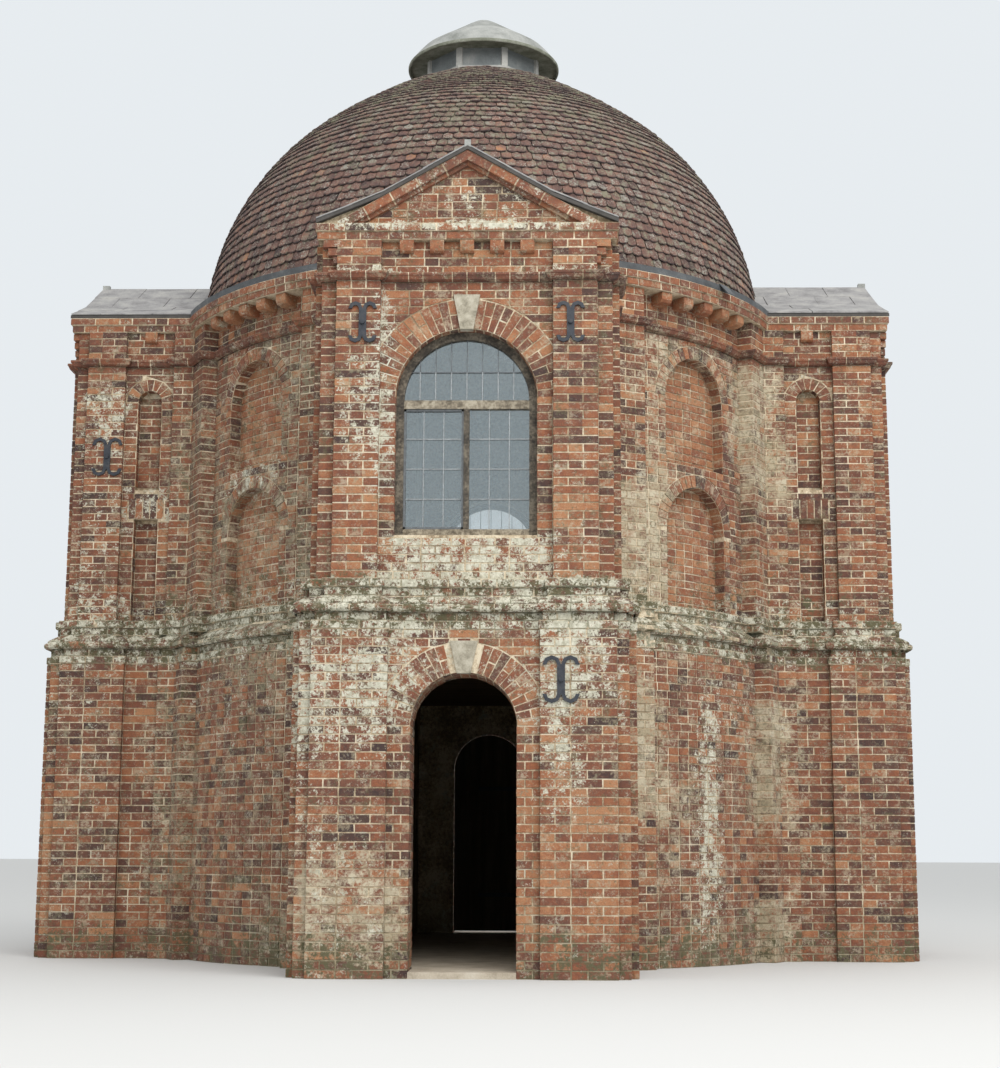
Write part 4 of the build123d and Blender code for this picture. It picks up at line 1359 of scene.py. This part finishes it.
STRING_SHRINK = 0.9985
FLAT_DEPTH = 0.03
ROLL = [(0.009, 0.000), (0.023, 0.005), (0.035, 0.017), (0.038, 0.0335), (0.035, 0.050), (0.023, 0.062),
        (0.009, 0.067), (-0.012, 0.067), (-0.012, 0.000)]
SLOPE = [(0.012, 0.000), (0.014, 0.008), (0.006, 0.020), (-0.030, 0.046), (-0.058, 0.064), (-0.075, 0.064),
         (-0.075, 0.000)]
OVOLO = [(0.013, 0.000), (0.045, 0.0125), (0.0585, 0.044), (0.0635, 0.045), (0.0635, 0.0645),
         (-0.010, 0.0645), (-0.010, 0.000)]


def moulded_brick(pile, start, along, normal, profile, z, s0, s1, miter0, miter1, tint):
    """A brick whose profile, as (out, up) points, is drawn along a run. Mitres lengthen its outer part."""
    profile = np.asarray(profile, float)
    out = profile[:, :1] + pile.random.normal(0, 0.0008)
    face = start + out * normal + (profile[:, 1:] + z) * UP
    back = face + (s0 - out * miter0) * along
    front = face + (s1 + out * miter1) * along
    pile.prism(back[::-1], front[::-1], tint)


def moulded_course(pile, path, profile, z, parity, tone):
    """Moulded bricks along a clockwise path, mitred at its corners."""
    path, lengths, alongs = runs_of(path)
    miters = [0.0]
    for before, after in zip(alongs, alongs[1:]):
        miters.append(-1.0 if inner_corner(before, after) else 1.0)
    miters.append(0.0)
    for i, (length, along) in enumerate(zip(lengths, alongs)):
        normal = np.array((-along[1], along[0], 0.0))
        parts = shares(length - 0.002, parity + i, pile.random, 0.1) or [(0.0, length - 0.002)]
        for number, (a, b) in enumerate(parts):
            first, last = number == 0, number == len(parts) - 1
            tint = tone(pile.random)
            s0, miter0 = (0.001, miters[i]) if first else (a, 0.0)
            s1, miter1 = (length - 0.001, miters[i + 1]) if last else (b, 0.0)
            moulded_brick(pile, plan3(path[i]), plan3(along), normal, profile, z,
                          s0, s1, miter0, miter1, tint)


def moulded_arc(pile, radius, profile, z, parity, start, end, tone):
    """Moulded bricks round a curved wall."""
    for a, b in shares((end - start) * radius, parity, pile.random, 0.3):
        origin, along, normal = drum_frame(start + (a + b) / 2 / radius, radius)
        half = (b - a) / 2 + JOINT * 0.35
        tint = tone(pile.random)
        moulded_brick(pile, origin, along, normal, profile, z, -half, half, 0.02, 0.02, tint)


def flat_profile(step):
    """The profile of a square brick that stands out by a step."""
    low = JOINT / 2
    top = COURSE - JOINT / 2
    out = step + BRICK_PROUD
    return [(step, low + BRICK_EDGE), (out, low + 2 * BRICK_EDGE), (out, top - 2 * BRICK_EDGE),
            (step, top - BRICK_EDGE / 2), (step - FLAT_DEPTH, top), (step - FLAT_DEPTH, low)]


# The string course: its square courses by number, storey and step, and its moulded ones by number
STRING_SQUARE = ((0, "lower", 0.010), (1, "lower", -0.020), (4, "upper", 0.045), (5, "upper", 0.065))
STRING_MOULDED = ((2, ROLL, 0), (3, SLOPE, 1))


def string_bricks(name, turn, seed, arm):
    """The six courses of the string course, on an arm or on a drum quadrant."""
    pile = Pile(turn, seed)
    for course, storey, step in STRING_SQUARE:
        z0 = LEDGE + course * COURSE
        if arm:
            right, left = (lower_path if storey == "lower" else upper_path)(step)
            lay_course(pile, right + left, z0, z0 + COURSE, course, tone=old_tone)
        else:
            radius = LOWER_DRUM if storey == "lower" else DRUM
            drum_pilasters(pile, radius, z0, z0 + COURSE, course, step)
            moulded_arc(pile, radius, flat_profile(step), z0, course, *drum_arc_ends(radius), old_tone)
    if arm:
        right, left = lower_path()
        paths = [right + left]
    else:
        for course, profile, parity in STRING_MOULDED:
            z0 = LEDGE + course * COURSE
            moulded_arc(pile, LOWER_DRUM, profile, z0, parity, *drum_arc_ends(LOWER_DRUM), old_tone)
        paths = pilaster_paths(LOWER_DRUM, LOWER_DRUM - 0.01)
    for path in paths:
        for course, profile, parity in STRING_MOULDED:
            moulded_course(pile, path, profile, LEDGE + course * COURSE, parity, old_tone)
    pile.points = [points * np.array((STRING_SHRINK, STRING_SHRINK, 1.0)) for points in pile.points]
    pile.build(name, BRICK, "brick", ages)


def string_core(side):
    """The string course's own body, drawn in so that its bricks stay inside the frame's box."""
    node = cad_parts[f"{side}_string_course"]
    name = f"{side}_string_core"
    mesh = node.data.copy()
    mesh.name = name
    mesh.transform(Matrix.Diagonal((STRING_SHRINK, STRING_SHRINK, 1.0, 1.0)))
    mesh.materials.clear()
    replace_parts(show(name, mesh, MORTAR), f"{side}_string_course")


def arm_cornice(pile, frieze_course):
    """Cap moulding, frieze, corbels, cornice and gable of an arm."""
    right, left = upper_path()
    moulded_course(pile, right + left, OVOLO, CAP_BASE, 0, cap_tone)
    for course in range(FRIEZE_COURSES):
        z0 = FRIEZE_BASE + course * frieze_course
        lay_course(pile, right + left, z0, z0 + frieze_course, course)
        if course:
            corner_steps(pile, z0, z0 + frieze_course, course)
    for course, step in enumerate(CORNICE_STEPS):
        side_x, end_y = HALF + step, -REACH - step - CORNICE_FRONT
        path = [(side_x, -PATH_ROOT), (side_x, end_y), (-side_x, end_y), (-side_x, -PATH_ROOT)]
        z0 = CORNICE_BASE + course * COURSE
        lay_course(pile, path, z0, z0 + COURSE, course)
    for offset in range(-2, 3):
        corbel(pile, np.array((offset * CORBEL_PITCH, -REACH, 0.0)), RIGHT, FRONT, ARM_CORBEL_OUT)
    for flip in (1, -1):
        corbel(pile, np.array((flip * HALF, -SIDE_NICHE, 0.0)), FRONT * -flip, RIGHT * flip, ARM_CORBEL_OUT)
    gable_bricks(pile)
    for flip in (1, -1):
        raking_cornice(pile, flip)


def drum_cornice(pile, frieze_course):
    """Cap moulding, frieze, corbels and cornice of a drum quadrant."""
    start, end = drum_arc_ends(DRUM)
    moulded_arc(pile, DRUM, OVOLO, CAP_BASE, 0, start, end, cap_tone)
    for path in pilaster_paths(DRUM, DRUM - 0.01):
        moulded_course(pile, path, OVOLO, CAP_BASE, 0, cap_tone)
    for course in range(FRIEZE_COURSES):
        z0 = FRIEZE_BASE + course * frieze_course
        drum_pilasters(pile, DRUM, z0, z0 + frieze_course, course)
        lay_arc(pile, DRUM, z0, z0 + frieze_course, course, start, end)
    outer = DRUM + DRUM_PILASTER_PROUD
    near = DRUM_PILASTER_TURN - DRUM_PILASTER_HALF / outer - 0.01
    for course, step in enumerate(CORNICE_STEPS):
        z0 = CORNICE_BASE + course * COURSE
        lay_arc(pile, outer + step, z0, z0 + COURSE, course, near, math.pi / 2 - near, tone=cornice_tone)
    for offset in range(-2, 3):
        corbel(pile, *drum_frame(math.pi / 4 + offset * CORBEL_PITCH / DRUM, DRUM), DRUM_CORBEL_OUT)


def cornice_bricks(name, turn, seed, arm):
    """Everything above the walls of an arm or a drum quadrant."""
    pile = Pile(turn, seed)
    (arm_cornice if arm else drum_cornice)(pile, (CORNICE_BASE - FRIEZE_BASE) / FRIEZE_COURSES)
    pile.build(name, BRICK, "brick", ages)


def corner_steps(pile, z0, z1, course):
    """Courses that step out over the corner strip of the arm's end, in front of it."""
    out = CORNER_STRIP * course / (FRIEZE_COURSES - 1)
    for flip in (1, -1):
        a, b = sorted((flip * (PILASTER_OUTER - 0.02), flip * (PILASTER_OUTER + out - 0.004)))
        outline = rectangle(a, b, z0 + 0.004, z1 - 0.004)
        face_brick(pile, FRONT * (REACH + PROUD), RIGHT, FRONT, outline, sunk=PROUD, proud=0.003)


CORBEL_PROFILE = [(0.02, 0.000), (0.55, 0.000), (0.88, 0.12), (1.0, 0.34), (1.0, 0.99), (0.02, 0.99)]


def corbel(pile, origin, along, normal, out):
    """One corbel brick with a rounded underside."""
    profile = [(a * (out + 0.004), b * CORBEL_HEIGHT) for a, b in CORBEL_PROFILE]
    tint = np.clip((pile.random.normal(0.78, 0.06), pile.random.random(), 0.2), 0, 1)
    flip = 1.0 if np.cross(along, normal)[2] < 0 else -1.0
    moulded_brick(pile, origin, along * -flip, normal, profile, CORBEL_BASE - 0.003,
                  -CORBEL_HALF, CORBEL_HALF, 0.0, 0.0, tint)


def gable_bricks(pile):
    """Bricks of the gable's wall, cut along the two slopes."""
    slope = math.atan(GABLE_SLOPE)
    top = RIDGE - RAKE_DROP
    lines = [((-flip * math.sin(slope), -math.cos(slope)), 0.004 - top * math.cos(slope)) for flip in (1, -1)]
    course = 0
    while CORNICE_TOP + course * COURSE < top - 0.03:
        z0 = CORNICE_TOP + course * COURSE
        low, high = z0 + JOINT / 2, z0 + COURSE - JOINT / 2
        half = RAKING_FOOT - (z0 - CORNICE_TOP) / GABLE_SLOPE
        for a, b in shares(2 * half, course, pile.random):
            outline = rectangle(a - half, b - half, low, high)
            for direction, distance in lines:
                if outline is not None:
                    outline = clip(outline, direction, distance)
            outline = tidy(outline)
            if outline is not None:
                face_brick(pile, FRONT * REACH, RIGHT, FRONT, outline)
        course += 1


RAKE_THICK = RAKE_DEPTH * math.cos(math.atan(GABLE_SLOPE))
RAKE = [(0.0715, -RAKE_THICK - 0.002), (0.0738, -RAKE_THICK + 0.003), (0.0742, -RAKE_THICK * 0.5),
        (0.0738, -0.005), (0.0715, -0.003), (0.010, -0.003), (0.010, -RAKE_THICK - 0.002)]
FILLET = [(0.010, -0.034), (0.036, -0.030), (0.038, 0.000), (0.004, 0.000), (0.004, -0.034)]


def raking_cornice(pile, flip):
    """The large bricks along one slope of the gable, over a fillet."""
    slope = math.atan(GABLE_SLOPE)
    along = np.array((flip * math.cos(slope), 0.0, -math.sin(slope)))
    up = np.array((flip * math.sin(slope), 0.0, math.cos(slope)))
    top = FRONT * REACH + UP * RIDGE
    length = RAKING_FOOT / math.cos(slope)
    count = int(length / RAKE_PITCH)
    step = (length - 0.02) / count
    for profile, shift in ((RAKE, 0.0), (FILLET, -RAKE_THICK)):
        moved = [(o, u + shift) for o, u in profile][::flip]
        for i in range(count):
            s0 = i * step + (0.002 if i else 0.0)
            s1 = (i + 1) * step - RAKE_JOINT
            sheared_brick(pile, top, along, up, moved, s0, s1, 0.0 if i else math.tan(slope))


def sheared_brick(pile, top, along, up, profile, s0, s1, lean):
    """A raking brick. The first one is cut upright at the ridge."""
    tint = np.clip((pile.random.normal(0.54, 0.10), pile.random.random(), 0.4), 0, 1)
    profile = np.asarray(profile, float)
    face = top + profile[:, :1] * FRONT + profile[:, 1:] * up
    back = face + (s0 - profile[:, 1:] * lean) * along
    front = face + s1 * along
    pile.prism(back[::-1], front[::-1], tint)


# Roofs


def dome_place(length):
    """Radius, height and outward turn at a length up the dome's curve."""
    flank_length = FLANK_RADIUS * FLANK_TURN
    if length < flank_length:
        turn = length / FLANK_RADIUS
        radius, offset, centre = FLANK_RADIUS, FLANK_OFFSET, FLANK_CENTRE
    else:
        turn = FLANK_TURN + (length - flank_length) / CROWN_RADIUS
        radius, offset, centre = CROWN_RADIUS, CROWN_OFFSET, CROWN_CENTRE
    return offset + radius * math.cos(turn), centre + radius * math.sin(turn), turn


DOME_FOOT = FLANK_RADIUS * math.asin((CORNICE_TOP + 0.045 - FLANK_CENTRE) / FLANK_RADIUS)
CROWN_END = math.asin((LANTERN_BASE - CROWN_CENTRE) / CROWN_RADIUS)
DOME_HEAD = FLANK_RADIUS * FLANK_TURN + CROWN_RADIUS * (CROWN_END - FLANK_TURN)


ROUND = 96


def revolved(name, profile, count, materials, index):
    """A closed solid of revolution, from (radius, height) points. index picks the material of each strip."""
    mesh = bpy.data.meshes.new(name)
    turns = [2 * math.pi * i / count for i in range(count)]
    points = [(r * math.sin(a), -r * math.cos(a), z) for a in turns for r, z in profile]
    n = len(profile)
    faces = []
    picked = []
    for i in range(count):
        j = (i + 1) % count
        for k in range(n):
            m = (k + 1) % n
            if profile[k][0] < 0.0005 and profile[m][0] < 0.0005:
                continue
            faces.append((i * n + k, j * n + k, j * n + m, i * n + m))
            picked.append(index(k))
    mesh.from_pydata(points, [], faces)
    piece = show(name, mesh, materials[0])
    for extra in materials[1:]:
        mesh.materials.append(extra)
    for polygon, chosen in zip(mesh.polygons, picked):
        polygon.material_index = chosen
    return piece


def dome_shell():
    """The dome's shell under its tiles, limewashed within, in place of the frame's plainer one."""
    lengths = np.linspace(DOME_FOOT, DOME_HEAD, 40)
    outer = [(dome_place(DOME_FOOT)[0], CORNICE_TOP)] + [dome_place(length)[:2] for length in lengths]
    opening = LANTERN_HALF - 0.050
    inner = []
    for length in lengths[::-1]:
        r, z, turn = dome_place(length)
        r, z = r - DOME_THICKNESS * math.cos(turn), z - DOME_THICKNESS * math.sin(turn)
        if r > opening:
            inner.append((r, z))
    first_inner = len(outer)
    profile = outer + [(opening, LANTERN_BASE), (opening, inner[0][1])] + inner
    profile.append((inner[-1][0], CORNICE_TOP))
    materials = [ROOF_BODY, MORTAR]
    shell = revolved("dome_shell", profile, ROUND, materials, lambda k: int(k >= first_inner))
    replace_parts(shell, "dome")


CAP_RADIUS = 0.778
CAP_RIM = ((0.0, 8.930), (CAP_RADIUS - 0.022, 8.930), (CAP_RADIUS - 0.020, 8.903),
           (CAP_RADIUS - 0.004, 8.903), (CAP_RADIUS, 8.912), (CAP_RADIUS, 8.930), (CAP_RADIUS - 0.008, 8.938))
CAP_TOP = ((0.705, 9.020), (0.640, 9.090), (0.530, 9.165), (0.410, 9.242), (0.300, 9.316), (0.200, 9.384),
           (0.120, 9.435), (0.050, 9.468), (0.0, 9.480))


def lantern_cap():
    """The round lead cap, with a thin rim that turns down."""
    profile = list(CAP_RIM + CAP_TOP)
    rim = len(CAP_RIM) - 1
    sheet = revolved("cap_sheet", profile, ROUND, [CAP_LEAD, RIM_LEAD], lambda k: int(k < rim))
    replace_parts(sheet, "lantern_cap")


TILE_GAUGE = 0.086
TILE_WIDTH = 0.094
TILE_LENGTH = 0.140
TILE_THICKNESS = 0.017
TILE_LAP = 0.032
TILE_COLUMNS = 5


def under_roof(x, y, z):
    """True where an arm's roof covers the dome."""
    for across, out in ((x, -y), (x, y), (y, x), (y, -x)):
        across = abs(across)
        if out < 0 or across > EAVE_HALF + 0.02:
            continue
        line = RIDGE - across * GABLE_SLOPE
        if across > FLARE_HALF:
            flare = (across - FLARE_HALF) / (EAVE_HALF - FLARE_HALF)
            line = FLARE_HEIGHT - flare * (FLARE_HEIGHT - CORNICE_TOP)
        if z < line - 0.06:
            return True
    return False


def dome_tiles():
    """Rows of plain tiles with worn, rounded lower edges, split over four quarters."""
    piles = [Pile(0, 300 + i) for i in range(4)]
    rows = int((DOME_HEAD - DOME_FOOT) / TILE_GAUGE)
    for row in range(rows):
        length = DOME_FOOT + row * TILE_GAUGE
        r, z, turn = dome_place(length)
        count = int(round(2 * math.pi * r / TILE_WIDTH))
        shift = piles[0].random.uniform(-0.1, 0.1)
        for i in range(count):
            angle = 2 * math.pi * (i + 0.5 * (row % 2) + shift) / count
            if under_roof(r * math.sin(angle), -r * math.cos(angle), z):
                continue
            number = int(((angle % (2 * math.pi)) / (math.pi / 2))) % 4
            one_tile(piles[number], length, angle, 2 * math.pi * r / count)
    for quarter, pile in zip(QUARTERS, piles):
        pile.build(f"{quarter}_dome_tiles", TILE, "tile")


def one_tile(pile, length, angle, width):
    """One tile, cambered and a little crooked, with a lobed foot, and a painted shadow on its lower edge and
    underside.
    """
    random = pile.random
    r, z, turn = dome_place(length)
    out = np.array((math.sin(angle) * math.cos(turn), -math.cos(angle) * math.cos(turn), math.sin(turn)))
    climb = np.array((-math.sin(angle) * math.sin(turn), math.cos(angle) * math.sin(turn), math.cos(turn)))
    across = np.array((math.cos(angle), math.sin(angle), 0.0))
    foot = np.array((math.sin(angle) * r, -math.cos(angle) * r, z)) + across * random.normal(0, 0.003)
    half = width / 2 - 0.001
    lobe = random.uniform(0.006, 0.016)
    power = random.uniform(2.0, 3.2)
    lean = random.normal(0, 0.16)
    lift = TILE_LAP + abs(random.normal(0, 0.003)) - 0.002
    skew = random.normal(0, 0.040)
    drop = random.normal(0, 0.0035)
    camber = random.uniform(0.003, 0.008)
    columns = np.linspace(-1, 1, TILE_COLUMNS)

    def row_of(rise, raised, narrow):
        points = []
        for c in columns:
            worn = lobe * min(1.3, abs(c - lean)) ** power + random.normal(0, 0.0012)
            up = rise if rise > 0.05 else drop + skew * half * c + worn + rise
            points.append(foot + across * half * c * narrow + climb * up + out * (raised - camber * c * c))
        return points

    outer = row_of(0.0, lift - 0.003, 0.94) + row_of(0.012, lift + 0.001, 0.97)
    outer += row_of(TILE_LENGTH, 0.004, 1.0)
    inner = [p - out * TILE_THICKNESS for p in outer]
    n = TILE_COLUMNS
    m = 3 * n
    tops = [(k + i, k + i + 1, k + n + i + 1, k + n + i) for k in (0, n) for i in range(n - 1)]
    unders = [(m + i, m + 2 * n + i, m + 2 * n + i + 1, m + i + 1) for i in range(n - 1)]
    fronts = [(m + i, m + i + 1, i + 1, i) for i in range(n - 1)]
    backs = [(2 * n + i, 2 * n + i + 1, m + 2 * n + i + 1, m + 2 * n + i) for i in range(n - 1)]
    ends = [(0, n, 2 * n, m + 2 * n, m), (n - 1, m + n - 1, m + 3 * n - 1, 3 * n - 1, 2 * n - 1)]
    tone = random.normal(0.50, 0.10) + (0.34 if random.random() < 0.012 else 0.0)
    lichen = random.normal(0.24 + 0.04 * foot[0] + 0.05 * (foot[2] - 6.5), 0.10)
    tint = np.tile((tone, lichen, random.random()), (2 * m, 1))
    # painted shadow: the points of the tile's lower front edge and of its whole underside get the darkest
    # tone and no lichen, standing in for the shade under each row
    edge = list(range(n)) + list(range(m, 2 * m))
    tint[edge] = (0.06, -0.2, 0.0)
    pile.add(outer + inner, tops + unders + fronts + backs + ends, np.clip(tint, -0.2, 1))


SLAB_EDGES = (0.0, 0.36, 0.70, 0.97, EAVE_HALF)
SLAB_THICKNESS = 0.012
SLAB_LENGTH = (0.34, 0.52)


def roof_line(across):
    """Height of an arm roof's top at a distance from its ridge."""
    if across <= FLARE_HALF:
        return RIDGE - across * GABLE_SLOPE + ROOF_THICKNESS
    fall = (FLARE_HEIGHT - CORNICE_TOP) / (EAVE_HALF - FLARE_HALF)
    return FLARE_HEIGHT - (across - FLARE_HALF) * fall + ROOF_THICKNESS


def roof_slabs(side, turn, seed):
    """Large slabs on both slopes of an arm's roof, in lapped rows with staggered joints."""
    pile = Pile(turn, seed)
    random = pile.random
    for flip in (1, -1):
        for row, (inner, outer) in enumerate(zip(SLAB_EDGES, SLAB_EDGES[1:])):
            y = -VERGE + 0.002
            first = True
            while y < -PATH_ROOT:
                length = random.uniform(*SLAB_LENGTH) * (0.6 if first and row % 2 else 1.0)
                end = min(y + length, -PATH_ROOT + 0.05)
                x0, x1 = max(0.0, inner - 0.04), outer
                z0, z1 = roof_line(x0) + 0.004, roof_line(x1) + SLAB_THICKNESS * 0.6
                if row == 0:
                    x0, z0 = 0.0, roof_line(0.0) + 0.006
                thick = SLAB_THICKNESS + random.normal(0, 0.002)
                a, b = y + 0.002, end - 0.003
                corners = [(x0, a, z0), (x1, a, z1), (x1, b, z1), (x0, b, z0)]
                corners = [(flip * cx, cy + random.normal(0, 0.001), cz) for cx, cy, cz in corners]
                bottom = np.array(corners)[::flip]
                pile.prism(bottom, bottom + UP * thick, random.random(3))
                y = end
                first = False
    pile.build(f"{side}_roof_slabs", SLATE, "slate")


# Windows and door


def bar(pile, x0, x1, z0, z1, y, depth):
    """An upright flat bar across the window, in front of the glass."""
    back = np.array(((x0, y, z0), (x1, y, z0), (x1, y, z1), (x0, y, z1)))
    pile.prism(back, back + FRONT * depth, np.full(3, 0.5))


CAME_WIDTH = 0.007
CAME_DEPTH = 0.012
CASEMENT_EDGE = 0.018


def upright(pile, x, z0, z1, y):
    """A lead strip that stands between two panes."""
    bar(pile, x - CAME_WIDTH / 2, x + CAME_WIDTH / 2, z0, z1, y, CAME_DEPTH)


def level(pile, z, x0, x1, y):
    """A lead strip that lies between two panes, just behind the upright ones."""
    bar(pile, x0, x1, z - CAME_WIDTH / 2, z + CAME_WIDTH / 2, y + 0.001, CAME_DEPTH)


def window_leads(side, turn):
    """Lead strips between the panes, and an iron casement in the light on the left."""
    pale = Pile(turn, 5)
    dark = Pile(turn, 6)
    y = -REACH + WINDOW_REVEAL + 0.030
    light = WINDOW_HALF - FRAME_WIDTH
    base = WINDOW_SILL + FRAME_WIDTH
    transom = WINDOW_SPRING - TRANSOM
    arch_bar = WINDOW_SPRING + ARCH_BAR
    edge = MULLION / 2
    for flip in (1, -1):
        for i in (1, 2):
            upright(pale, flip * (edge + (light - edge) * i / 3), base, transom, y)
        for i in (1, 2, 3):
            x0, x1 = sorted((flip * edge, flip * light))
            level(pale, base + (transom - base) * i / 4, x0, x1, y)
    for i in range(1, 8):
        x = -light + 2 * light * i / 8
        top = WINDOW_SPRING + math.sqrt(light ** 2 - x ** 2)
        upright(pale, x, WINDOW_SPRING, arch_bar, y)
        if top > arch_bar:
            upright(dark, x, arch_bar, top, y)
    half = math.sqrt(light ** 2 - ARCH_BAR ** 2)
    level(dark, arch_bar, -half, half, y)
    thin = CASEMENT_EDGE
    for a, b, c, d in ((-light, -edge, base, base + thin), (-light, -edge, transom - thin, transom),
                       (-light, -light + thin, base, transom), (-edge - thin, -edge, base, transom)):
        bar(dark, a, b, c, d, y - 0.004, 0.014)
    pale.build(f"{side}_window_leads", CAME, "iron")
    dark.build(f"{side}_casement_bars", DARK_CAME, "iron")


def build_walls():
    """All the brickwork."""
    for number, (side, turn) in enumerate(SIDES.items()):
        arm_lower(side, turn, side in ("front", "rear"), 20 + number)
        arm_upper(side, turn, 30 + number)
        string_core(side)
        string_bricks(f"{side}_string_bricks", turn, 40 + number, True)
        cornice_bricks(f"{side}_cornice_bricks", turn, 50 + number, True)
        roof_slabs(side, turn, 60 + number)
        window_leads(side, turn)
    for number, (quarter, turn) in enumerate(QUARTERS.items()):
        drum_lower(quarter, turn, 70 + number)
        drum_upper(quarter, turn, 80 + number)
        string_bricks(f"{quarter}_drum_string_bricks", turn, 90 + number, False)
        cornice_bricks(f"{quarter}_drum_cornice_bricks", turn, 95 + number, False)


# Camera, light and floor

CAMERA = (0.585, -17.957, 0.902)
CAMERA_YAW = 0.0221
CAMERA_PITCH = 0.1736
CAMERA_ROLL = 0.0038
CAMERA_FOCAL_PIXELS = 1839.85
PHOTO_SIZE = (1000, 1068)
SENSOR = 36.0


def add_camera():
    """The camera of the photo, solved on the front and the sides."""
    data = bpy.data.cameras.new("camera")
    data.sensor_fit = "AUTO"
    data.sensor_width = SENSOR
    data.lens = CAMERA_FOCAL_PIXELS * SENSOR / max(PHOTO_SIZE)
    camera = bpy.data.objects.new("camera", data)
    turn = (Matrix.Rotation(CAMERA_YAW, 4, "Z") @ Matrix.Rotation(math.pi / 2 + CAMERA_PITCH, 4, "X")
            @ Matrix.Rotation(CAMERA_ROLL, 4, "Z"))
    camera.matrix_world = Matrix.Translation(CAMERA) @ turn
    bpy.context.scene.collection.objects.link(camera)
    bpy.context.scene.camera = camera


def add_light():
    """A pale overcast sky with one large soft lamp."""
    world = bpy.data.worlds.new("sky")
    bpy.context.scene.world = world
    world.use_nodes = True
    nodes, links = world.node_tree.nodes, world.node_tree.links
    background = nodes["Background"]
    background.inputs["Color"].default_value = (0.97, 0.97, 0.96, 1)
    background.inputs["Strength"].default_value = 0.95
    seen = nodes.new("ShaderNodeBackground")
    seen.inputs["Color"].default_value = (0.80, 0.84, 0.87, 1)
    seen.inputs["Strength"].default_value = 1.0
    path = nodes.new("ShaderNodeLightPath")
    direct = path.outputs["Is Camera Ray"]
    for kind in ("Glossy", "Transmission"):
        either = nodes.new("ShaderNodeMath")
        either.operation = "MAXIMUM"
        links.new(direct, either.inputs[0])
        links.new(path.outputs[f"Is {kind} Ray"], either.inputs[1])
        direct = either.outputs[0]
    blend = nodes.new("ShaderNodeMixShader")
    links.new(direct, blend.inputs[0])
    links.new(background.outputs[0], blend.inputs[1])
    links.new(seen.outputs[0], blend.inputs[2])
    links.new(blend.outputs[0], nodes["World Output"].inputs["Surface"])
    lamp = bpy.data.lights.new("lamp", "AREA")
    lamp.energy = 2750
    lamp.size = 14
    lamp.color = (1.0, 0.975, 0.94)
    item = bpy.data.objects.new("lamp", lamp)
    item.location = (5.5, -15.0, 16.0)
    item.rotation_euler = (Vector((0, 0, 4.0)) - item.location).to_track_quat("-Z", "Y").to_euler()
    bpy.context.scene.collection.objects.link(item)


def add_floor():
    """A wide pale floor under the building."""
    made, _, _, shader = material("pale_floor")
    shader.inputs["Base Color"].default_value = (0.62, 0.63, 0.63, 1)
    shader.inputs["Roughness"].default_value = 0.95
    mesh = bpy.data.meshes.new("floor")
    size = 400.0
    square = ((-size, -size, 0), (size, -size, 0), (size, size, 0), (-size, size, 0))
    mesh.from_pydata(square, [], [(0, 1, 2, 3)])
    mesh.materials.append(made)
    floor = bpy.data.objects.new("floor", mesh)
    bpy.context.scene.collection.objects.link(floor)
    floor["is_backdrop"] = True


dress_nodes()
build_walls()
dome_shell()
dome_tiles()
lantern_cap()
add_camera()
add_light()
add_floor()
bpy.context.scene.view_settings.view_transform = "Standard"


def corners(box):
    """A box as plain lists."""
    return [list(corner) for corner in box]


{"cad": corners(cad_box), "visual": corners(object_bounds())}
